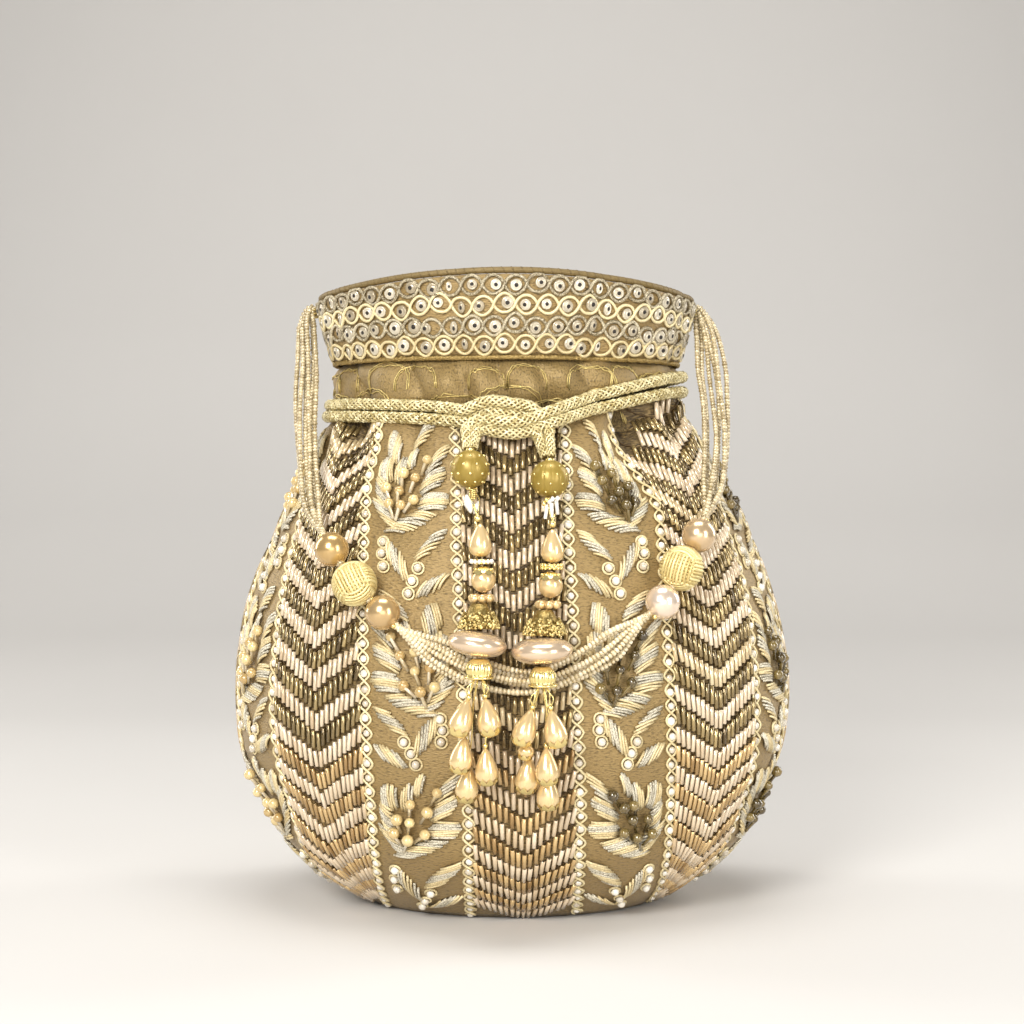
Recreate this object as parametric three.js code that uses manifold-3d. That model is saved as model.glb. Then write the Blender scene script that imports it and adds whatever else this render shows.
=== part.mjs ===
// Beaded potli bag: an oval drawstring pouch with a stiff stone-set collar, a beaded rope handle that hangs
// in front of the belly, and two bead tassels that hang from the knot of the drawcord.
// Millimetres, +Z up, the front faces -Y. The origin is the middle of the flat base.
import * as THREE from 'three';
import { mergeVertices } from 'three/addons/utils/BufferGeometryUtils.js';
import Module from 'manifold-3d';

const wasm = await Module();
wasm.setup();

// ---- driving dimensions ----
const GAP = 0.3; // room between touching pieces
const AROUND = 40; // facets round the oval bag
const DEPTH_RATIO = 0.8; // the bag's depth over its width
const LEAN = -2.5; // sideways drift of the soft neck and collar
const LEAN_FROM = 148; // height where the drift begins
const LEAN_TO = 196; // height where the drift is complete
const RIM_DROOP = 6; // how far the rim sinks at the two sides
const COLLAR_BASE = 191.3;
const COLLAR_TOP = 212.2;
const BODY_WALL = 2; // quilted, embroidered fabric
const NECK_WALL = 1.6;
const COLLAR_WALL = 2.4;
const LINING_INSET = 3.1; // outer face of the bag to outer face of the lining
const LINING_WALL = 0.8;
const BASE_RADIUS = 49.5;
const BASE_COVER = 1.6;
const BOARD = [2, 4.2]; // bottom and top of the base board
const LINING_FLOOR = 4.6;
const CORD_RADIUS = 2.1; // knitted drawcord
const SHOULDER_ROOM = 1.2; // how far the cord stands off the slope of the neck
const ROPE_RADIUS = 2.6; // bundle of six bead strands
const HANDLE_PIVOT = 209.5; // height of the stitches that the handle swings on
const PEARL_RADIUS = 5.75;
const WOVEN_RADIUS = 7.3;
const THREAD_RADIUS = 0.4;

// Outlines of the outer faces, as [half-width, height].
const BODY = [
  [51.5, 0.4], [57, 3.6], [64, 7.8], [70, 12], [75.5, 16.8], [80.5, 21.8], [84.5, 27], [88.5, 36],
  [94, 48.7], [96.8, 58.8], [97.8, 71], [97.4, 82], [96, 92], [93.5, 105], [89.6, 117.5],
  [85.2, 127.5], [81.5, 137], [77, 145], [73.5, 152], [69.8, 158.5], [65.8, 166],
];
const NECK = [[65, 166.6], [61.2, 171.5], [59.3, 178], [59.4, 184.5], [60, 190.9]];
const COLLAR = [[61.2, COLLAR_BASE], [63.5, 198.3], [65.5, 205.5], [67, COLLAR_TOP]];

// ---- materials ----
const material = (color, roughness, metalness = 0) =>
  new THREE.MeshStandardMaterial({ color, roughness, metalness });
const FABRIC = () => material(0xbfa278, 0.75);
const TISSUE = () => material(0xc8b084, 0.6, 0.1);
const SATIN = () => material(0xd8c49a, 0.45);
const CARD = () => material(0x9a8567, 0.9);
const GOLD = () => material(0xe1be5a, 0.28, 0.9);
const KNIT = () => material(0xc8b46e, 0.5, 0.4);
const PEARL = () => material(0xe1be8c, 0.22, 0.15);
const DROP_PEARL = () => material(0xf0d7af, 0.22, 0.1);
const MATTE_BEAD = () => material(0xb9a03c, 0.55, 0.2);
const SEED = () => material(0xdcc896, 0.3, 0.2);
const CRYSTAL = () => material(0xf4efe2, 0.08, 0.1);

// ---- helpers ----
const group = new THREE.Group();
group.name = 'potli_bag';

function add(name, geometry, mat) {
  const mesh = new THREE.Mesh(geometry, mat);
  mesh.name = name;
  group.add(mesh);
  return mesh;
}

function facingOut(geometry) {
  const g = mergeVertices(geometry.deleteAttribute('normal').deleteAttribute('uv'), 1e-4);
  const p = g.attributes.position;
  const index = g.index.array;
  const corner = [0, 1, 2].map(() => new THREE.Vector3());
  let volume = 0;
  for (let i = 0; i < index.length; i += 3) {
    corner.forEach((v, k) => v.fromBufferAttribute(p, index[i + k]));
    volume += corner[0].dot(corner[1].cross(corner[2]));
  }
  if (volume < 0) for (let i = 0; i < index.length; i += 3) index.subarray(i, i + 3).reverse();
  g.computeVertexNormals();
  return g;
}

// A solid of revolution about Z from [radius, height] points: a closed loop, or a line from axis to axis.
function turned(points, facets = 12) {
  const line = points.map(([r, z]) => new THREE.Vector2(r, z));
  return new THREE.LatheGeometry(line, facets).rotateX(Math.PI / 2);
}

// The outline moved inwards by distance, along its own normals.
function inset(points, distance) {
  return points.map(([r, z], i) => {
    const [r0, z0] = points[Math.max(i - 1, 0)];
    const [r1, z1] = points[Math.min(i + 1, points.length - 1)];
    const long = Math.hypot(r1 - r0, z1 - z0);
    return [r - ((z1 - z0) / long) * distance, z + ((r1 - r0) / long) * distance];
  });
}

const band = (outer, wall) => [...outer, ...inset(outer, wall).reverse(), outer[0]];

function tubeRing(radius, z, half, sides = 6) {
  const loop = [];
  for (let i = 0; i <= sides; i++) {
    const a = (i / sides) * 2 * Math.PI;
    loop.push([radius + half * Math.cos(a), z + half * Math.sin(a)]);
  }
  return loop;
}

function leanAt(z) {
  return LEAN * THREE.MathUtils.smoothstep(z, LEAN_FROM, LEAN_TO);
}

// Turns a round ring into the bag's own form: oval, leaning a little, with a rim that droops at the sides.
function soften(geometry) {
  const p = geometry.attributes.position;
  for (let i = 0; i < p.count; i++) {
    const [x, y, z] = [p.getX(i), p.getY(i), p.getZ(i)];
    const across = (y * y) / Math.max(x * x + y * y, 1e-9);
    const up = Math.max(0, (z - COLLAR_BASE) / (COLLAR_TOP - COLLAR_BASE));
    p.setXYZ(i, x + leanAt(z), y * DEPTH_RATIO, z + RIM_DROOP * across * up);
  }
  return geometry;
}

const ring = (profile) => soften(turned(profile, AROUND));

function toManifold(geometry) {
  const g = facingOut(geometry.clone());
  return new wasm.Manifold(
    new wasm.Mesh({
      numProp: 3,
      vertProperties: new Float32Array(g.attributes.position.array),
      triVerts: new Uint32Array(g.index.array),
    }),
  );
}

function fromManifold(manifold) {
  const m = manifold.getMesh();
  const g = new THREE.BufferGeometry();
  const place = new Float32Array(m.numVert * 3);
  for (let i = 0; i < m.numVert; i++) {
    for (let k = 0; k < 3; k++) place[3 * i + k] = m.vertProperties[i * m.numProp + k];
  }
  g.setAttribute('position', new THREE.BufferAttribute(place, 3));
  g.setIndex(new THREE.BufferAttribute(new Uint32Array(m.triVerts), 1));
  return g.toNonIndexed();
}

// One half of a ring: side -1 is the front, side 1 the back.
function half(geometry, side) {
  const size = 300;
  const box = new THREE.BoxGeometry(size, size, size).translate(0, side * (size / 2 + GAP / 2), size / 2 - 20);
  return fromManifold(toManifold(geometry).intersect(toManifold(box)));
}

function tube(points, radius, steps, sides = 8) {
  const section = new THREE.Shape();
  for (let i = 0; i < sides; i++) {
    const a = (i / sides) * 2 * Math.PI;
    const [x, y] = [radius * Math.cos(a), radius * Math.sin(a)];
    if (i) section.lineTo(x, y);
    else section.moveTo(x, y);
  }
  const path = new THREE.CatmullRomCurve3(points.map((p) => new THREE.Vector3(...p)));
  return new THREE.ExtrudeGeometry(section, { steps, extrudePath: path, bevelEnabled: false });
}

const ball = (radius, across = 12, up = 8) => new THREE.SphereGeometry(radius, across, up);

// Places a piece turned about Z so that its axis runs from below to above.
function alongLine(geometry, below, above) {
  const from = new THREE.Vector3(...below);
  const direction = new THREE.Vector3(...above).sub(from).normalize();
  const turn = new THREE.Quaternion().setFromUnitVectors(new THREE.Vector3(0, 0, 1), direction);
  return geometry.applyQuaternion(turn).translate(...below);
}

// ---- the pouch ----
const outerFace = [...BODY, ...NECK, ...COLLAR];
const bodyRing = ring(band(BODY, BODY_WALL));
add('body_front', half(bodyRing, -1), FABRIC());
add('body_back', half(bodyRing, 1), FABRIC());
add('neck_frill', ring(band(NECK, NECK_WALL)), TISSUE());
add('collar_band', ring(band(COLLAR, COLLAR_WALL)), FABRIC());
add('rim_piping', ring(tubeRing(65.7, COLLAR_TOP + 1.7, 1.3)), TISSUE());
add('collar_braid', ring(tubeRing(61.5, 190, 0.9)), GOLD());

const disc = (radius, low, high) => ring([[0, low], [radius, low], [radius, high], [0, high]]);
add('base_cover', disc(BASE_RADIUS, 0, BASE_COVER), FABRIC());
add('base_board', disc(BASE_RADIUS + 1, ...BOARD), CARD());

const plainFace = outerFace.filter((_, i) => i % 2 === 0 || i === outerFace.length - 1);
const liningOuter = inset(plainFace, LINING_INSET).filter(([, z]) => z > LINING_FLOOR + 3);
const liningInner = inset(liningOuter, LINING_WALL);
add(
  'lining',
  ring([
    [0, LINING_FLOOR], [BASE_RADIUS, LINING_FLOOR], ...liningOuter,
    ...liningInner.reverse(), [BASE_RADIUS, LINING_FLOOR + LINING_WALL], [0, LINING_FLOOR + LINING_WALL],
  ]),
  SATIN(),
);

// ---- the drawcord: two turns round the neck, knotted in front ----
// Each point is [angle from the front in degrees, height], going round by the left side.
const UPPER_TURN = [[12, 173.2], [30, 174.6], [60, 176.6], [90, 177.2], [135, 178.6], [180, 181],
  [225, 184], [270, 186.4], [300, 184.4], [322, 180], [340, 175.8], [353, 173]];
const LOWER_TURN = [[12, 168.8], [30, 170.1], [60, 172], [90, 172.6], [135, 174], [180, 176.4],
  [225, 178.8], [270, 181], [300, 179.4], [322, 175.2], [340, 171.3], [353, 168.5]];

function neckHalfWidth(z) {
  const line = [BODY[BODY.length - 1], ...NECK];
  const i = Math.max(1, line.findIndex(([, height]) => height > z));
  const [[r0, z0], [r1, z1]] = [line[i - 1], line[i]];
  return THREE.MathUtils.lerp(r0, r1, THREE.MathUtils.clamp((z - z0) / (z1 - z0), 0, 1));
}

function roundTheNeck([degrees, z]) {
  const angle = THREE.MathUtils.degToRad(-90 - degrees);
  const clear = CORD_RADIUS + GAP + SHOULDER_ROOM;
  const wide = neckHalfWidth(z);
  return [(wide + clear) * Math.cos(angle) + leanAt(z), (wide * DEPTH_RATIO + clear) * Math.sin(angle), z];
}

add('drawcord_upper', tube(UPPER_TURN.map(roundTheNeck), CORD_RADIUS, 48), KNIT());
add('drawcord_lower', tube(LOWER_TURN.map(roundTheNeck), CORD_RADIUS, 48), KNIT());
add('drawcord_knot', ball(1, 14, 10).scale(6.8, 4, 4.6).translate(-2.2, -57.6, 171), KNIT());

// ---- the handle ----
const LEFT_HANG = [-73.2, 0, HANDLE_PIVOT];
const RIGHT_HANG = [68.2, 0, HANDLE_PIVOT];
const LEFT_BEADS = [[-59.3, -65.5, 126.5], [-51.5, -70.3, 115.4], [-42, -74.8, 106.2]];
const RIGHT_BEADS = [[61.9, -61, 131], [55.7, -65.8, 120.3], [49.2, -71, 109.4]];
const LEFT_ROPE = [LEFT_HANG, [-72.6, -13, 190], [-71, -32, 165], [-67.2, -51, 141]];
const RIGHT_ROPE = [RIGHT_HANG, [70.2, -10, 196], [70.4, -27, 172], [68, -46, 149]];
const FRONT_ROPE = [[-35.6, -76.2, 100.6], [-25, -79, 93.8], [-13, -81.8, 88], [0, -82.8, 84.6],
  [11, -82.4, 85.3], [27, -78.8, 92.4], [41.6, -73.6, 103.4]];

function stitch(x) {
  const peg = [[0, -0.5], [2, -0.5], [2, 0.5], [0, 0.5]];
  return turned(peg, 10).rotateY(Math.PI / 2).translate(x, 0, HANDLE_PIVOT);
}

// The point just outside a bead, on the way to another point.
function besideBead(bead, radius, towards) {
  const centre = new THREE.Vector3(...bead);
  const step = new THREE.Vector3(...towards).sub(centre).setLength(radius + GAP + 0.4);
  return centre.add(step).toArray();
}

add('handle_stitch_left', stitch(-70), GOLD());
add('handle_stitch_right', stitch(65), GOLD());
add('handle_rope_left', tube([...LEFT_ROPE, besideBead(LEFT_BEADS[0], PEARL_RADIUS, LEFT_ROPE[3])],
  ROPE_RADIUS, 16), SEED());
add('handle_rope_right', tube([...RIGHT_ROPE, besideBead(RIGHT_BEADS[0], PEARL_RADIUS, RIGHT_ROPE[3])],
  ROPE_RADIUS, 16), SEED());
add('handle_rope_front', tube([
  besideBead(LEFT_BEADS[2], PEARL_RADIUS, FRONT_ROPE[0]), ...FRONT_ROPE,
  besideBead(RIGHT_BEADS[2], PEARL_RADIUS, FRONT_ROPE[6]),
], ROPE_RADIUS, 18), SEED());
for (const [side, beads] of [['left', LEFT_BEADS], ['right', RIGHT_BEADS]]) {
  add(`${side}_upper_pearl`, ball(PEARL_RADIUS).translate(...beads[0]), PEARL());
  add(`${side}_woven_ball`, ball(WOVEN_RADIUS).translate(...beads[1]), GOLD());
  add(`${side}_lower_pearl`, ball(PEARL_RADIUS).translate(...beads[2]), PEARL());
}

// ---- the tassels ----
const pod = (radius, length, from = 0) => [
  [0, from], [0.62 * radius, from + 0.05 * length], [0.95 * radius, from + 0.18 * length],
  [radius, from + 0.3 * length], [0.86 * radius, from + 0.5 * length],
  [0.55 * radius, from + 0.74 * length], [0.2 * radius, from + 0.96 * length], [0, from + length],
];

// A thin cup over the top of a ball of the given radius.
function cupOver(radius) {
  const [inner, outer] = [radius + GAP, radius + GAP + 0.7];
  const arc = (r, from, to) => [0, 0.5, 1].map((t) => {
    const a = THREE.MathUtils.degToRad(THREE.MathUtils.lerp(from, to, t));
    return [r * Math.sin(a), r * Math.cos(a)];
  });
  const loop = [...arc(outer, 62, 14), ...arc(inner, 14, 62)];
  return [...loop, loop[0]];
}

// A drop pearl on its thread: bottom, then the thread's upper end; the thread is part of the piece.
function dropOnThread(bottom, top, radius, length) {
  const reach = new THREE.Vector3(...top).distanceTo(new THREE.Vector3(...bottom));
  const bead = pod(radius, length).slice(0, -2);
  const neck = length * 0.93;
  return alongLine(turned([
    ...bead, [THREAD_RADIUS, neck], [1.1, neck + 0.7], [1.1, neck + 1.5], [THREAD_RADIUS, neck + 2.2],
    [THREAD_RADIUS, reach], [0, reach],
  ], 8), bottom, top);
}

// Tassel data: the swing centre, then each piece's middle.
const TASSELS = {
  left: {
    swing: [-13.5, -61, 165.3], tailEnd: [-13.7, -65.8, 160.6], tail: 2.6,
    matte: [-13.7, -67.4, 152.9], link: [-12.6, -70.5, 142.1], linkHalf: 3.9, tip: [-11.2, -73, 136.7],
    teardrop: [-10.3, -75, 129.7], spacer: [-9.8, -77.6, 122.9], pearl: [-9.2, -79.5, 116.9],
    pearls: [-9.8, -81.6, 111.25], bell: [-10.6, -84.6, 105.8], bellRadius: 6.65,
    saucer: [-11, -90, 97.2], saucerSize: [9.5, 4], tilt: 8, cap: [-10.4, -91.6, 89.5],
    threadTop: 85.8,
    drops: [
      [[-17.4, -94, 68.4], [-12, -92.6], 3.75, 12], [[-6.6, -94, 68.4], [-9.2, -92.6], 3.75, 12],
      [[-17, -87.8, 55.9], [-12, -89.8], 3.75, 12], [[-7.9, -86.6, 51.9], [-9.4, -89.8], 3.75, 12],
      [[-14.9, -82.6, 45.9], [-10.9, -88.4], 3.75, 12],
    ],
  },
  right: {
    swing: [10.2, -61.5, 164.6], tailEnd: [11.9, -66.4, 157.9], tail: 2.7,
    matte: [12.4, -68.8, 149.6], link: [12.8, -72, 139.7], linkHalf: 3.3, tip: [13.1, -74, 134.9],
    teardrop: [13.1, -76, 127.9], spacer: [12.8, -78, 121.3], pearl: [12.4, -80, 115.2],
    pearls: [11.6, -82.2, 109.2], bell: [10.4, -84.8, 103.7], bellRadius: 7,
    saucer: [9.5, -90.2, 95], saucerSize: [9.8, 4.2], tilt: -3, cap: [9.7, -91.8, 87],
    threadTop: 83.3,
    drops: [
      [[2.5, -94.2, 65.4], [8.4, -93], 3.75, 12], [[14.6, -94.2, 64.8], [11, -93], 3.75, 12],
      [[3.9, -89.3, 60.2], [8.2, -89.8], 2.7, 5.6], [[11.3, -89.4, 52.2], [10.2, -90.2], 3.75, 12],
      [[4.2, -84.6, 49.1], [8.6, -88.6], 3.75, 12], [[11.7, -82.7, 43.4], [10, -88.2], 3.75, 12],
    ],
  },
};

for (const [side, t] of Object.entries(TASSELS)) {
  const at = (profile, place, facets) => turned(profile, facets).translate(...place);
  const tailLength = new THREE.Vector3(...t.swing).distanceTo(new THREE.Vector3(...t.tailEnd));
  const rounded = 0.7 * t.tail;
  add(`${side}_cord_tail`, alongLine(turned([
    [0, 0], [t.tail, 0], [t.tail, tailLength], [rounded, tailLength + rounded], [0, tailLength + t.tail],
  ], 10), t.tailEnd, t.swing), KNIT());
  const matteRadius = 6.3;
  add(`${side}_matte_bead`, ball(matteRadius).translate(...t.matte), MATTE_BEAD());
  add(`${side}_crystal_link`, at([[0, -t.linkHalf], [1.3, -t.linkHalf], [2.4, -1.2], [1.2, 1.1],
    [1.6, t.linkHalf], [0, t.linkHalf]], t.link, 8), CRYSTAL());
  add(`${side}_tip_ball`, ball(1.1, 8, 6).translate(...t.tip), GOLD());
  add(`${side}_teardrop`, at(pod(3.8, 11, -5.5), t.teardrop), DROP_PEARL());
  add(`${side}_spacer_ring`, at([[0, -0.8], [3.8, -0.8], [3.8, 0.2], [2.9, 0.8], [0, 0.8]], t.spacer), GOLD());
  const pearlRadius = 4;
  add(`${side}_petal_cap`, at(cupOver(pearlRadius), t.pearl), GOLD());
  add(`${side}_round_pearl`, ball(pearlRadius, 12, 8).translate(...t.pearl), PEARL());
  add(`${side}_pearl_ring`, at(tubeRing(3, 0, 1.3, 6), t.pearls), PEARL());
  add(`${side}_bell`, at([[0, -3.9], [t.bellRadius, -3.9], [0.93 * t.bellRadius, -1.8], [4.6, 1.4],
    [3.2, 3.8], [0, 3.8]], t.bell), GOLD());
  const [wide, tall] = t.saucerSize;
  add(`${side}_saucer_pearl`, ball(1, 16, 8).rotateX(Math.PI / 2).scale(wide, wide, tall)
    .rotateY(THREE.MathUtils.degToRad(t.tilt)).translate(...t.saucer), PEARL());
  add(`${side}_fluted_cap`, at([[0, -3.2], [4.7, -3.2], [4.7, -2.3], [3.9, -1.8], [4, 1.4], [2.9, 3.1],
    [0, 3.1]], t.cap), GOLD());
  t.drops.forEach(([bottom, [x, y], radius, length], i) => {
    add(`${side}_drop_${i + 1}`, dropOnThread(bottom, [x, y, t.threadTop], radius, length), DROP_PEARL());
  });
}

export default group;
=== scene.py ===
import math

import bpy
import numpy as np
from mathutils import Matrix


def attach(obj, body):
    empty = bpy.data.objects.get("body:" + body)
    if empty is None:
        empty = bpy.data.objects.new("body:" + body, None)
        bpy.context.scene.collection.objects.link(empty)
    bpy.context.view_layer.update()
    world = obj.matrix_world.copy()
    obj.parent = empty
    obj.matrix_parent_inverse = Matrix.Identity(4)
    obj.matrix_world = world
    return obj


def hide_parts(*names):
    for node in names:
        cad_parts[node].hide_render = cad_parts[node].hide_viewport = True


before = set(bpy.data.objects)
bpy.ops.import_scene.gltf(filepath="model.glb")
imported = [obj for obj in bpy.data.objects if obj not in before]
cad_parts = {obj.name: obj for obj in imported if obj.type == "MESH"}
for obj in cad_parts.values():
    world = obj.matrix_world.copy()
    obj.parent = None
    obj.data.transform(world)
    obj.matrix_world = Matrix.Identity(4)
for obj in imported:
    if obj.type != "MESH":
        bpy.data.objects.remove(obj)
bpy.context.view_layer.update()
rng = np.random.default_rng(7)
MM = 0.001

# ---------------------------------------------------------------- the bag's own form, in millimetres
# An outline is (half width, height) points, the bag's depth being DEPTH of its width.
BODY = [(51.5, 0.4), (57, 3.6), (64, 7.8), (70, 12), (75.5, 16.8), (80.5, 21.8), (84.5, 27), (88.5, 36),
        (94, 48.7), (96.8, 58.8), (97.8, 71), (97.4, 82), (96, 92), (93.5, 105), (89.6, 117.5),
        (85.2, 127.5), (81.5, 137), (77, 145), (73.5, 152), (69.8, 158.5), (65.8, 166), (62.6, 170.6),
        (61.9, 175), (61.6, 180), (61.6, 184)]
NECK = [(64.0, 166), (63.6, 166.6), (61.2, 171.5), (59.3, 178), (58.4, 184.5), (57.6, 190.9)]
COLLAR_BASE, COLLAR_TOP = 191.3, 212.2
COLLAR = [(61.2, COLLAR_BASE), (63.5, 198.3), (65.5, 205.5), (67, COLLAR_TOP)]
DEPTH = 0.8
BELLY_TOP = 166.0  # the height from which depth down the cloth is counted
LEAN, LEAN_FROM, LEAN_TO = -2.5, 148.0, 196.0  # the neck and collar stand this far to the left
RIM_DROOP = 6.0  # how much higher the rim is at the front and back than at the sides
HALF_ROUND = 280.0  # half of the widest girth, along which the panels are laid out
FRONT_HELD = 55.0  # the panels keep their width this far to each side of the front
SWAY, SWAY_FROM, SWAY_OVER = 4.5, 130.0, 88.0  # how far the panels lean to the right towards the base

# The two turns of the drawcord: (degrees from the front going round by the left, height).
UPPER_TURN = [(21, 174.0), (30, 174.6), (60, 175.9), (90, 176.3), (135, 178.2), (180, 181), (225, 184),
              (270, 186.4), (300, 184.4), (322, 180.2), (333, 177.6)]
LOWER_TURN = [(21, 169.6), (30, 170.3), (60, 171.6), (90, 172.4), (135, 174), (180, 176.4), (225, 178.8),
              (270, 181), (300, 179.4), (322, 175.6), (333, 173.2)]
UPPER_KNOT, LOWER_KNOT = 176.0, 170.6  # the same turns' heights behind the knot


def cord_height(phi, turn, at_knot):
    """The height of a turn of the drawcord at an angle from the front."""
    deg, z = np.array(turn).T
    return np.interp(np.degrees(-np.asarray(phi)) % 360, [0, *deg, 360], [at_knot, *z, at_knot])


def running(steps):
    """The running total of some steps, from 0."""
    return np.concatenate([[0], np.cumsum(steps)])


def run_of(line):
    """How far each point lies along a line."""
    return running(np.linalg.norm(np.diff(line, axis=0), axis=1))


def spaced(line, count):
    """Evenly spaced points along a line."""
    run = run_of(line)
    even = np.linspace(0, run[-1], count)
    return np.stack([np.interp(even, run, line[:, k]) for k in range(line.shape[1])], 1)


def spline(points, count):
    """Points along a Catmull-Rom curve through the given ones, evenly spaced."""
    p = np.array(points, float)
    ends = np.vstack([2 * p[0] - p[1], p, 2 * p[-1] - p[-2]])
    out = []
    for i in range(len(p) - 1):
        a, b, c, d = ends[i : i + 4]
        t = np.linspace(0, 1, 24, endpoint=i == len(p) - 2)[:, None]
        square, cube = 2 * a - 5 * b + 4 * c - d, 3 * b - a - 3 * c + d
        out.append(0.5 * (2 * b + (c - a) * t + square * t**2 + cube * t**3))
    return spaced(np.vstack(out), count)


# Depth down the cloth (m) against the outline, and the share of an ellipse's round against the angle (phi).
_profile = spline(BODY[::-1], 800)
_m = running(np.hypot((1 + DEPTH) / 2 * np.diff(_profile[:, 0]), np.diff(_profile[:, 1])))
_m -= np.interp(-BELLY_TOP, -_profile[:, 1], _m)
M_TOP, M_END = _m[0], _m[-1]
_phi = np.linspace(-math.pi, math.pi, 4001)
_speed = np.hypot(np.cos(_phi), DEPTH * np.sin(_phi))
_arc = running((_speed[1:] + _speed[:-1]) / 2 * np.diff(_phi))
_arc -= np.interp(0, _phi, _arc)
UNIT_HALF = _arc[-1]


def wrap(l):
    """A layout position brought within half a round of the front."""
    return (np.asarray(l, float) + HALF_ROUND) % (2 * HALF_ROUND) - HALF_ROUND


def smooth(t):
    t = np.clip(t, 0, 1)
    return t * t * (3 - 2 * t)


def lean(z):
    """How far the neck and collar stand aside."""
    return LEAN * smooth((z - LEAN_FROM) / (LEAN_TO - LEAN_FROM))


def m_of_z(z):
    return np.interp(-z, -_profile[:, 1], _m)


# Where the cord drags the top of the panels sideways: layout position, reach to each side, shift, depth.
DRAGS = [(51.5, 26, 44, -15.0, 34), (-51.5, 24, 24, 4.5, 22)]


def dragged(l, m):
    """The layout position that the drags bring l to."""
    shift = 0
    for at, before, after, far, deep in DRAGS:
        near = np.where(l < at, 1 - (at - l) / before, 1 - (l - at) / after)
        shift = shift + far * smooth(near) * smooth(1 - m / deep)
    return l + shift


def angle_of(l, m):
    """The angle round the bag, from the front, of the layout position l at depth m."""
    l = dragged(wrap(l), np.maximum(m, 0))
    r = np.interp(m, _m, _profile[:, 0])
    z = np.interp(m, _m, _profile[:, 1])
    l = l + SWAY * np.clip((SWAY_FROM - z) / SWAY_OVER, 0, 1) * (1 - np.abs(l) / HALF_ROUND)
    half = UNIT_HALF * r
    far = FRONT_HELD + (np.abs(l) - FRONT_HELD) * (half - FRONT_HELD) / (HALF_ROUND - FRONT_HELD)
    s = np.where(np.abs(l) <= FRONT_HELD, l, np.sign(l) * far)
    return np.interp(s / r, _arc, _phi), r, z


# The cloth's top edge round the bag, along the lower turn of the cord.
_edge_l = np.linspace(-HALF_ROUND, HALF_ROUND, 1121)
_edge_m = m_of_z(cord_height(angle_of(_edge_l, 0 * _edge_l)[0], LOWER_TURN, LOWER_KNOT))


def top_of(l):
    """The depth of the cloth's top edge, behind the cord."""
    return np.interp(wrap(l), _edge_l, _edge_m)


GATHER_REACH = 26.0  # how far down the folds go
# Deep folds where the cord gathers the cloth: layout position, width, depth.
FOLDS = [(57, 6, 6.5), (-62, 7, 5.5), (-33, 4, 1.6), (12, 5, 1.2), (78, 6, 4.0), (-92, 6, 4.0), (112, 7, 4.5),
         (-124, 7, 4.0), (146, 7, 4.5), (-158, 7, 4.5), (180, 7, 4.0), (-192, 7, 4.5), (214, 7, 4.5),
         (-226, 7, 4.0), (246, 7, 4.5), (-258, 7, 4.5), (276, 6, 3.5)]


def puff(l, m):
    """How far the cloth stands out from the plain form: folds below the cord, soft swells all over."""
    near_top = np.clip(1 - m / GATHER_REACH, 0, 1.25) ** 1.6 * np.clip((m - top_of(l) + 1) / 5, 0.15, 1)
    g = 0
    for at, wide, deep in FOLDS:
        g = g - deep * np.exp(-((wrap(l - at) / wide) ** 2))
    g = (g + 1.0) * near_top
    turn = np.pi * l / HALF_ROUND
    soft = 0.5 * np.sin(8 * turn + m / 23.0) * np.sin(m / 17.0 + 1.3)
    soft = soft + 0.35 * np.sin(15 * turn - m / 31.0 + 0.7)
    return g + soft * np.clip(m / 20, 0, 1) * np.clip((M_END - m) / 14, 0, 1)


def body_at(l, m, h=0.0):
    """Points at layout position l and depth m, standing h off the cloth."""
    l, m = np.broadcast_arrays(np.asarray(l, float), np.asarray(m, float))
    phi, r, z = angle_of(l, m)
    slope = 0.6
    dr = np.interp(m + slope, _m, _profile[:, 0]) - np.interp(m - slope, _m, _profile[:, 0])
    dz = np.interp(m + slope, _m, _profile[:, 1]) - np.interp(m - slope, _m, _profile[:, 1])
    long = np.hypot(dr, dz)
    flat, up = -dz / long, dr / long
    nx, ny = DEPTH * np.sin(phi), -np.cos(phi)
    n = np.hypot(nx, ny)
    out = puff(l, m) + h
    return np.stack([r * np.sin(phi) + lean(z) + nx / n * flat * out,
                     -DEPTH * r * np.cos(phi) + ny / n * flat * out, z + up * out], -1)


def frames(where, l, m, h=0.0, eps=0.25):
    """Points on a surface with their directions: across, up and out."""
    p = where(l, m, h)
    u = where(l + eps, m, h) - where(l - eps, m, h)
    v = where(l, m - eps, h) - where(l, m + eps, h)
    u /= np.linalg.norm(u, axis=-1, keepdims=True)
    n = np.cross(u, v)
    n /= np.linalg.norm(n, axis=-1, keepdims=True)
    return p, u, np.cross(n, u), n


def ring_at(outline):
    """A surface round the neck or collar: phi is the angle from the front, m the share down from the top."""
    line = spline(outline[::-1], 200)
    share = np.linspace(0, 1, 200)

    def where(phi, m, h=0.0):
        phi, m = np.broadcast_arrays(np.asarray(phi, float), np.asarray(m, float))
        r, z = np.interp(m, share, line[:, 0]), np.interp(m, share, line[:, 1])
        up = np.clip((z - COLLAR_BASE) / (COLLAR_TOP - COLLAR_BASE), 0, 2)
        nx, ny = DEPTH * np.sin(phi), -np.cos(phi)
        n = np.hypot(nx, ny)
        return np.stack([r * np.sin(phi) + lean(z) + nx / n * h, -DEPTH * r * np.cos(phi) + ny / n * h,
                         z + RIM_DROOP * np.cos(phi) ** 2 * up], -1)

    return where


collar_plain = ring_at(COLLAR)
CREASES = (-0.25, 0.54, 1.25, -1.1, 1.9, -1.8, 2.6, -2.6)


def collar_fold(phi, m):
    """How far the collar stands out: creased, the more so further down."""
    crease = 0
    for at in CREASES:
        crease = crease - 1.4 * np.exp(-(((phi - at) / 0.06) ** 2))
    return crease * (0.35 + 0.65 * m) + 0.5 * np.sin(5 * phi + 1) + 0.3 * np.sin(9 * phi)


def collar_at(phi, m, h=0.0):
    return collar_plain(phi, m, h + collar_fold(phi, m))


neck_plain = ring_at(NECK)


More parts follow.
